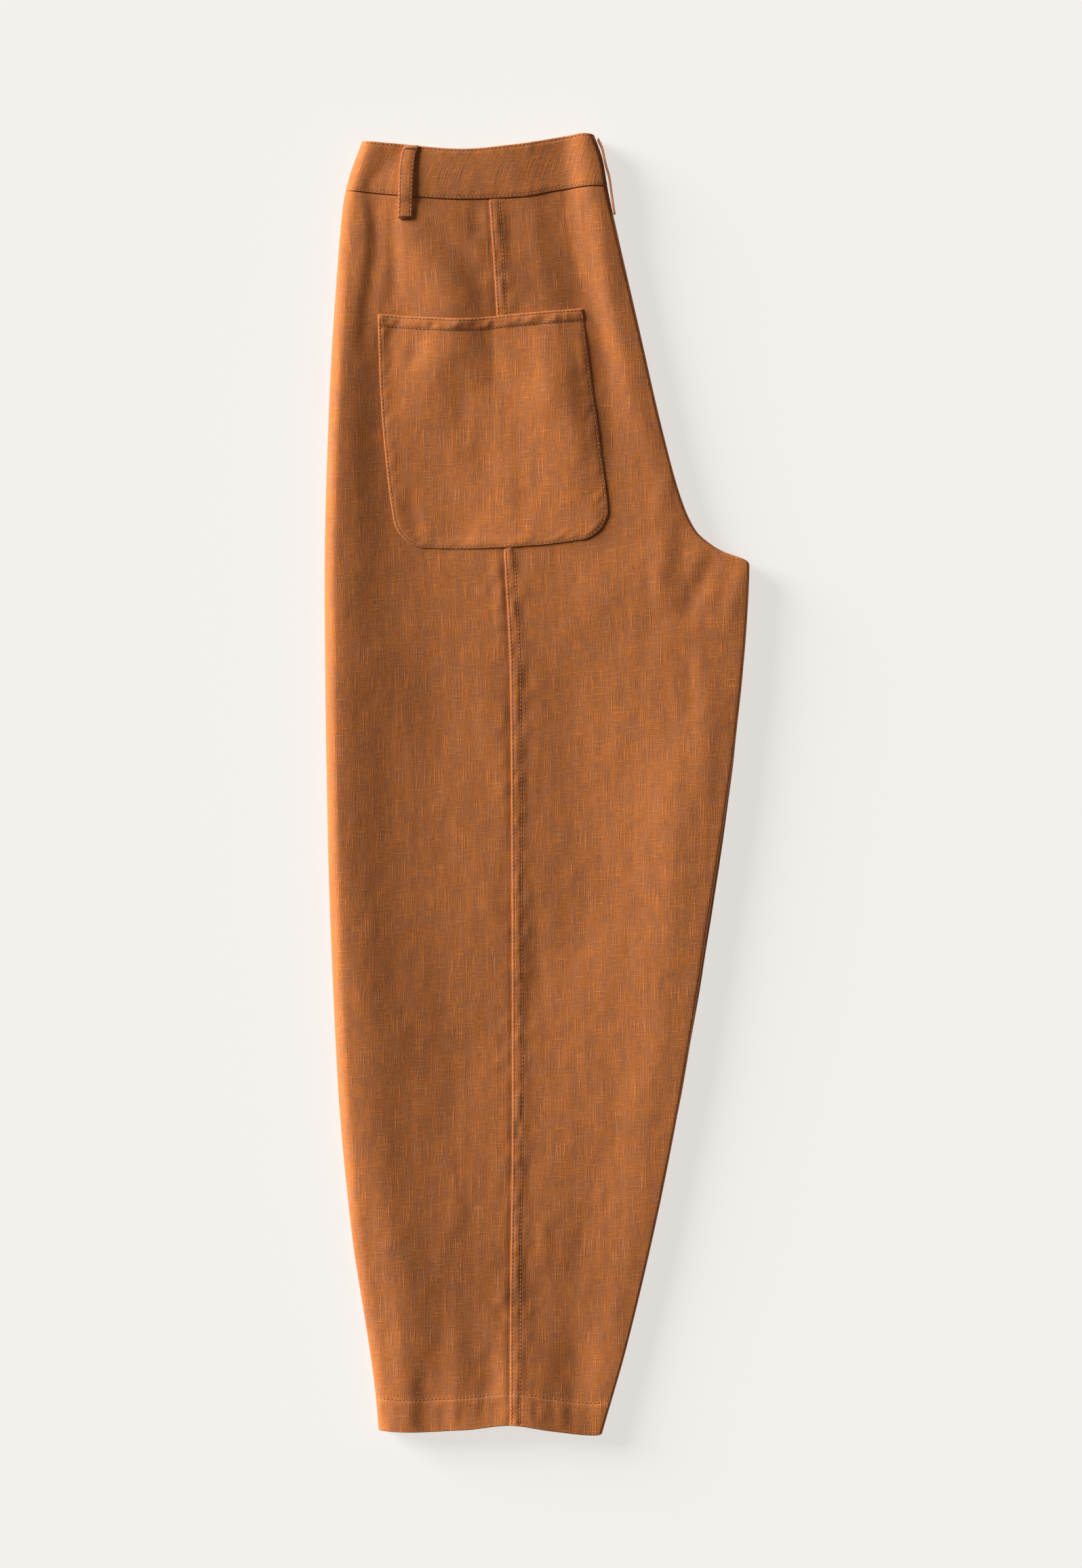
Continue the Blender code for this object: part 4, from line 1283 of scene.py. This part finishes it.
def back_seam_sewing():
    sewing = Sewing("back_seam_stitching")
    for offset in SEAM_ROWS:
        for start, end in ((51.5, 139.5), (321.5, 993.5)):
            down = np.arange(start, end, 1.0)
            sewing.row(on_cloth(back_seam(down) + offset, down, seam_height))
    return sewing.done()


def hem_sewing():
    sewing = Sewing("hem_stitching")
    x = np.arange(-120, 62, 1.0)
    down = through(HEM_LINE, x) - HEM_DEPTH + 1.0
    keep = (x > left_edge(down) + 3) & (x < right_edge(down) - 3)
    x, down = x[keep], down[keep]

    def height(x, down):
        strip = np.where(x > back_seam(down), seam_strip(x, down), 0)
        return cloth_height(x, down) + hem_relief(x, down) + strip

    places = on_cloth(x, down, height)
    places[:, 2] = rolled(places[:, 2], x, down)
    sewing.row(places)
    return sewing.done()


def rolled(z, x, down):
    """Brings a height near a folded edge down onto the roll."""
    from_left = (x - left_edge(down)) / LEFT_ROLL
    from_right = (right_edge(down) - x) * square_on(down) / right_roll(down)
    share = np.minimum(from_left, from_right)
    angle = np.arccos(np.clip(1 - share, 0, 1))
    return np.where(share < 1, FOLD_Z + (z - FOLD_Z) * np.sin(angle), z)


def nearest_height(piece):
    """Height of a finished piece's top at a place, by a ray from above."""

    def height(x, down):
        found = []
        for a, b in zip(np.ravel(x), np.ravel(LENGTH / 2 - down)):
            hit, place, _, _ = piece.ray_cast(Vector((a * MM, b * MM, 0.1)), Vector((0, 0, -1)))
            found.append(place.z / MM if hit else np.nan)
        found = np.array(found)
        good = ~np.isnan(found)
        return np.interp(np.arange(len(found)), np.flatnonzero(good), found[good])

    return height


def pocket_sewing(pocket_piece):
    sewing = Sewing("pocket_stitching")
    height = nearest_height(pocket_piece)
    width = POCKET_WIDTH
    inset_share = POCKET_EDGE_ROW / width
    left_row = np.arange(2.0, POCKET_HEIGHT - POCKET_CORNER, 1.5)
    x_left, down_left = pocket_place(np.full(len(left_row), inset_share), left_row)
    angle = np.linspace(0, math.pi / 2, 24)[1:-1]
    radius = POCKET_CORNER - POCKET_EDGE_ROW
    corner_side = POCKET_CORNER - radius * np.cos(angle)
    corner_row = POCKET_HEIGHT - POCKET_CORNER + radius * np.sin(angle)

    def from_side(side, row):
        share = (side - pocket_inset(row)) / (width - 2 * pocket_inset(row))
        return pocket_place(share, row)

    x_corner, down_corner = from_side(corner_side, corner_row)
    foot = np.linspace(POCKET_CORNER, width - POCKET_CORNER, 80)
    foot_row = np.full(80, POCKET_HEIGHT - POCKET_EDGE_ROW)
    x_foot, down_foot = from_side(foot, foot_row)
    x_far, down_far = from_side(width - corner_side[::-1], corner_row[::-1])
    x_right, down_right = pocket_place(np.full(len(left_row), 1 - inset_share), left_row[::-1])
    x = np.concatenate([x_left, x_corner, x_foot, x_far, x_right])
    down = np.concatenate([down_left, down_corner, down_foot, down_far, down_right])
    sewing.row(on_cloth(x, down, height))
    share = np.linspace(0.012, 0.988, 120)
    for row in (POCKET_EDGE_ROW, POCKET_HEM_ROW):
        x, down = pocket_place(share, np.full(120, row))
        sewing.row(on_cloth(x, down, height))
    return sewing.done()


def band_sewing(band_piece):
    sewing = Sewing("waistband_stitching")
    height = nearest_height(band_piece)
    for line, offset in ((BAND_TOP, BAND_ROW), (WAIST_SEAM, -BAND_ROW)):
        x = np.arange(-146, 56, 1.0)
        down = through(line, x) + offset
        keep = (x > left_edge(down) + 2.5) & (x < right_edge(down) - 2.5)
        sewing.row(on_cloth(x[keep], down[keep], height))
    return sewing.done()


def loop_sewing(loop_piece):
    sewing = Sewing("belt_loop_stitching")
    height = nearest_height(loop_piece)
    top, foot = SIDE_LOOP[0].down, SIDE_LOOP[-1].down
    down = np.arange(top + 1.0, foot - 1.0, 1.0)
    for side in (-1, 1):
        x = through(SIDE_LOOP, down) + side * (LOOP_WIDTH / 2 - 1.3)
        sewing.row(on_cloth(x, down, height))
    for at in (foot - 2.2, top + 2.0):
        centre = through(SIDE_LOOP, np.array([at]))[0]
        for step in np.arange(-4.3, 4.4, 0.62):
            x = np.array([centre + step - 0.25, centre + step + 0.25])
            sewing.row(on_cloth(x, np.array([at - 0.9, at + 0.9]), height), pitch=2.4, length=3.0, width=0.5)
    return sewing.done()


outer = outer_panel()
inner = inner_panel()
band = waistband()
patch = pocket()
loop_side = side_loop()
loop_back = centre_loop()
leg_under = under_layers("layers_underneath", WAIST_SEAM, HEM_LINE)
band_under = under_layers("waistband_underneath", BAND_TOP, WAIST_SEAM)
sewn = [
    back_seam_sewing(),
    hem_sewing(),
    pocket_sewing(patch),
    band_sewing(band),
    loop_sewing(loop_side),
]

for piece in (outer, inner, band, patch, loop_side, loop_back, *sewn):
    ride(piece)
for piece in (leg_under, band_under):
    ride(piece)
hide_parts("back_panel_outer")
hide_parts("back_panel_inner")
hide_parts("waistband_back")
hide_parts("back_pocket")
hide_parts("belt_loop_side")
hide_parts("belt_loop_centre_back")
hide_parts("hidden_layers")
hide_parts("waistband_hidden")


# Cuts of the cloth that shows


def cut(left, right, top, foot, turned=0.0):
    """Size in m and flat area in m2 of a piece between two edges, with what is turned in at its foot."""
    down = np.linspace(top, foot, 400)
    wide = right(down) - left(down)
    size = (wide.max() * MM, (foot - top + turned) * MM)
    return size, (wide.mean() * (foot - top) + wide[-1] * turned) * MM**2


def roll_slack(radius):
    """Cloth that a rolled edge takes beyond its width seen from above."""
    return radius * (math.pi / 2 - 1)


def side_fold(down):
    return left_edge(down) - roll_slack(LEFT_ROLL)


def rise_fold(down):
    return right_edge(down) + roll_slack(right_roll(down))


waist_down, hem_down = WAIST_SEAM[3].down, HEM_LINE[0].down
band_top_down = BAND_TOP[1].down
outer_cut = cut(side_fold, back_seam, waist_down, hem_down, HEM_DEPTH)
inner_cut = cut(back_seam, rise_fold, waist_down, hem_down, HEM_DEPTH)
band_cut = cut(side_fold, rise_fold, band_top_down, waist_down)
pocket_cut = cut(
    lambda down: through(POCKET_LEFT, down),
    lambda down: through(POCKET_RIGHT, down),
    POCKET_MOUTH[3].down,
    POCKET_FOOT[2].down,
)


# Floor, light and camera

bpy.ops.object.select_all(action="DESELECT")
bpy.ops.mesh.primitive_plane_add(size=8)
floor = bpy.context.object
floor.name = "floor"
floor.data.materials.append(floor_finish("pale_floor"))

KEY_ELEVATION = 13.0
KEY_AZIMUTH = 152.0
KEY_STRENGTH = 9.64
KEY_SOFTNESS = 30.0
FILL_STRENGTH = 0.125
elevation, azimuth = math.radians(KEY_ELEVATION), math.radians(KEY_AZIMUTH)
key_from = Vector(
    (math.cos(elevation) * math.cos(azimuth), math.cos(elevation) * math.sin(azimuth), math.sin(elevation))
)
key = bpy.data.objects.new("key_light", bpy.data.lights.new("key_light", "SUN"))
key.data.energy = KEY_STRENGTH
key.data.angle = math.radians(KEY_SOFTNESS)
key.rotation_euler = key_from.to_track_quat("Z", "Y").to_euler()
bpy.context.scene.collection.objects.link(key)

world = bpy.data.worlds.new("studio")
world.use_nodes = True
world.node_tree.nodes["Background"].inputs["Color"].default_value = (1.0, 0.99, 0.975, 1)
world.node_tree.nodes["Background"].inputs["Strength"].default_value = FILL_STRENGTH
bpy.context.scene.world = world
bpy.context.scene.view_settings.view_transform = "Standard"

PHOTO_HEIGHT = 2313
PHOTO_SCALE = 0.5225
LENS = 100.0
SENSOR = 36.0
CAMERA_X = 3.1
CAMERA_Y = 0.3
view_height = PHOTO_HEIGHT * PHOTO_SCALE
camera = bpy.data.objects.new("camera", bpy.data.cameras.new("camera"))
camera.data.lens = LENS
camera.data.sensor_width = SENSOR
camera.location = (CAMERA_X * MM, CAMERA_Y * MM, (view_height * LENS / SENSOR + 9.0) * MM)
bpy.context.scene.collection.objects.link(camera)
bpy.context.scene.camera = camera
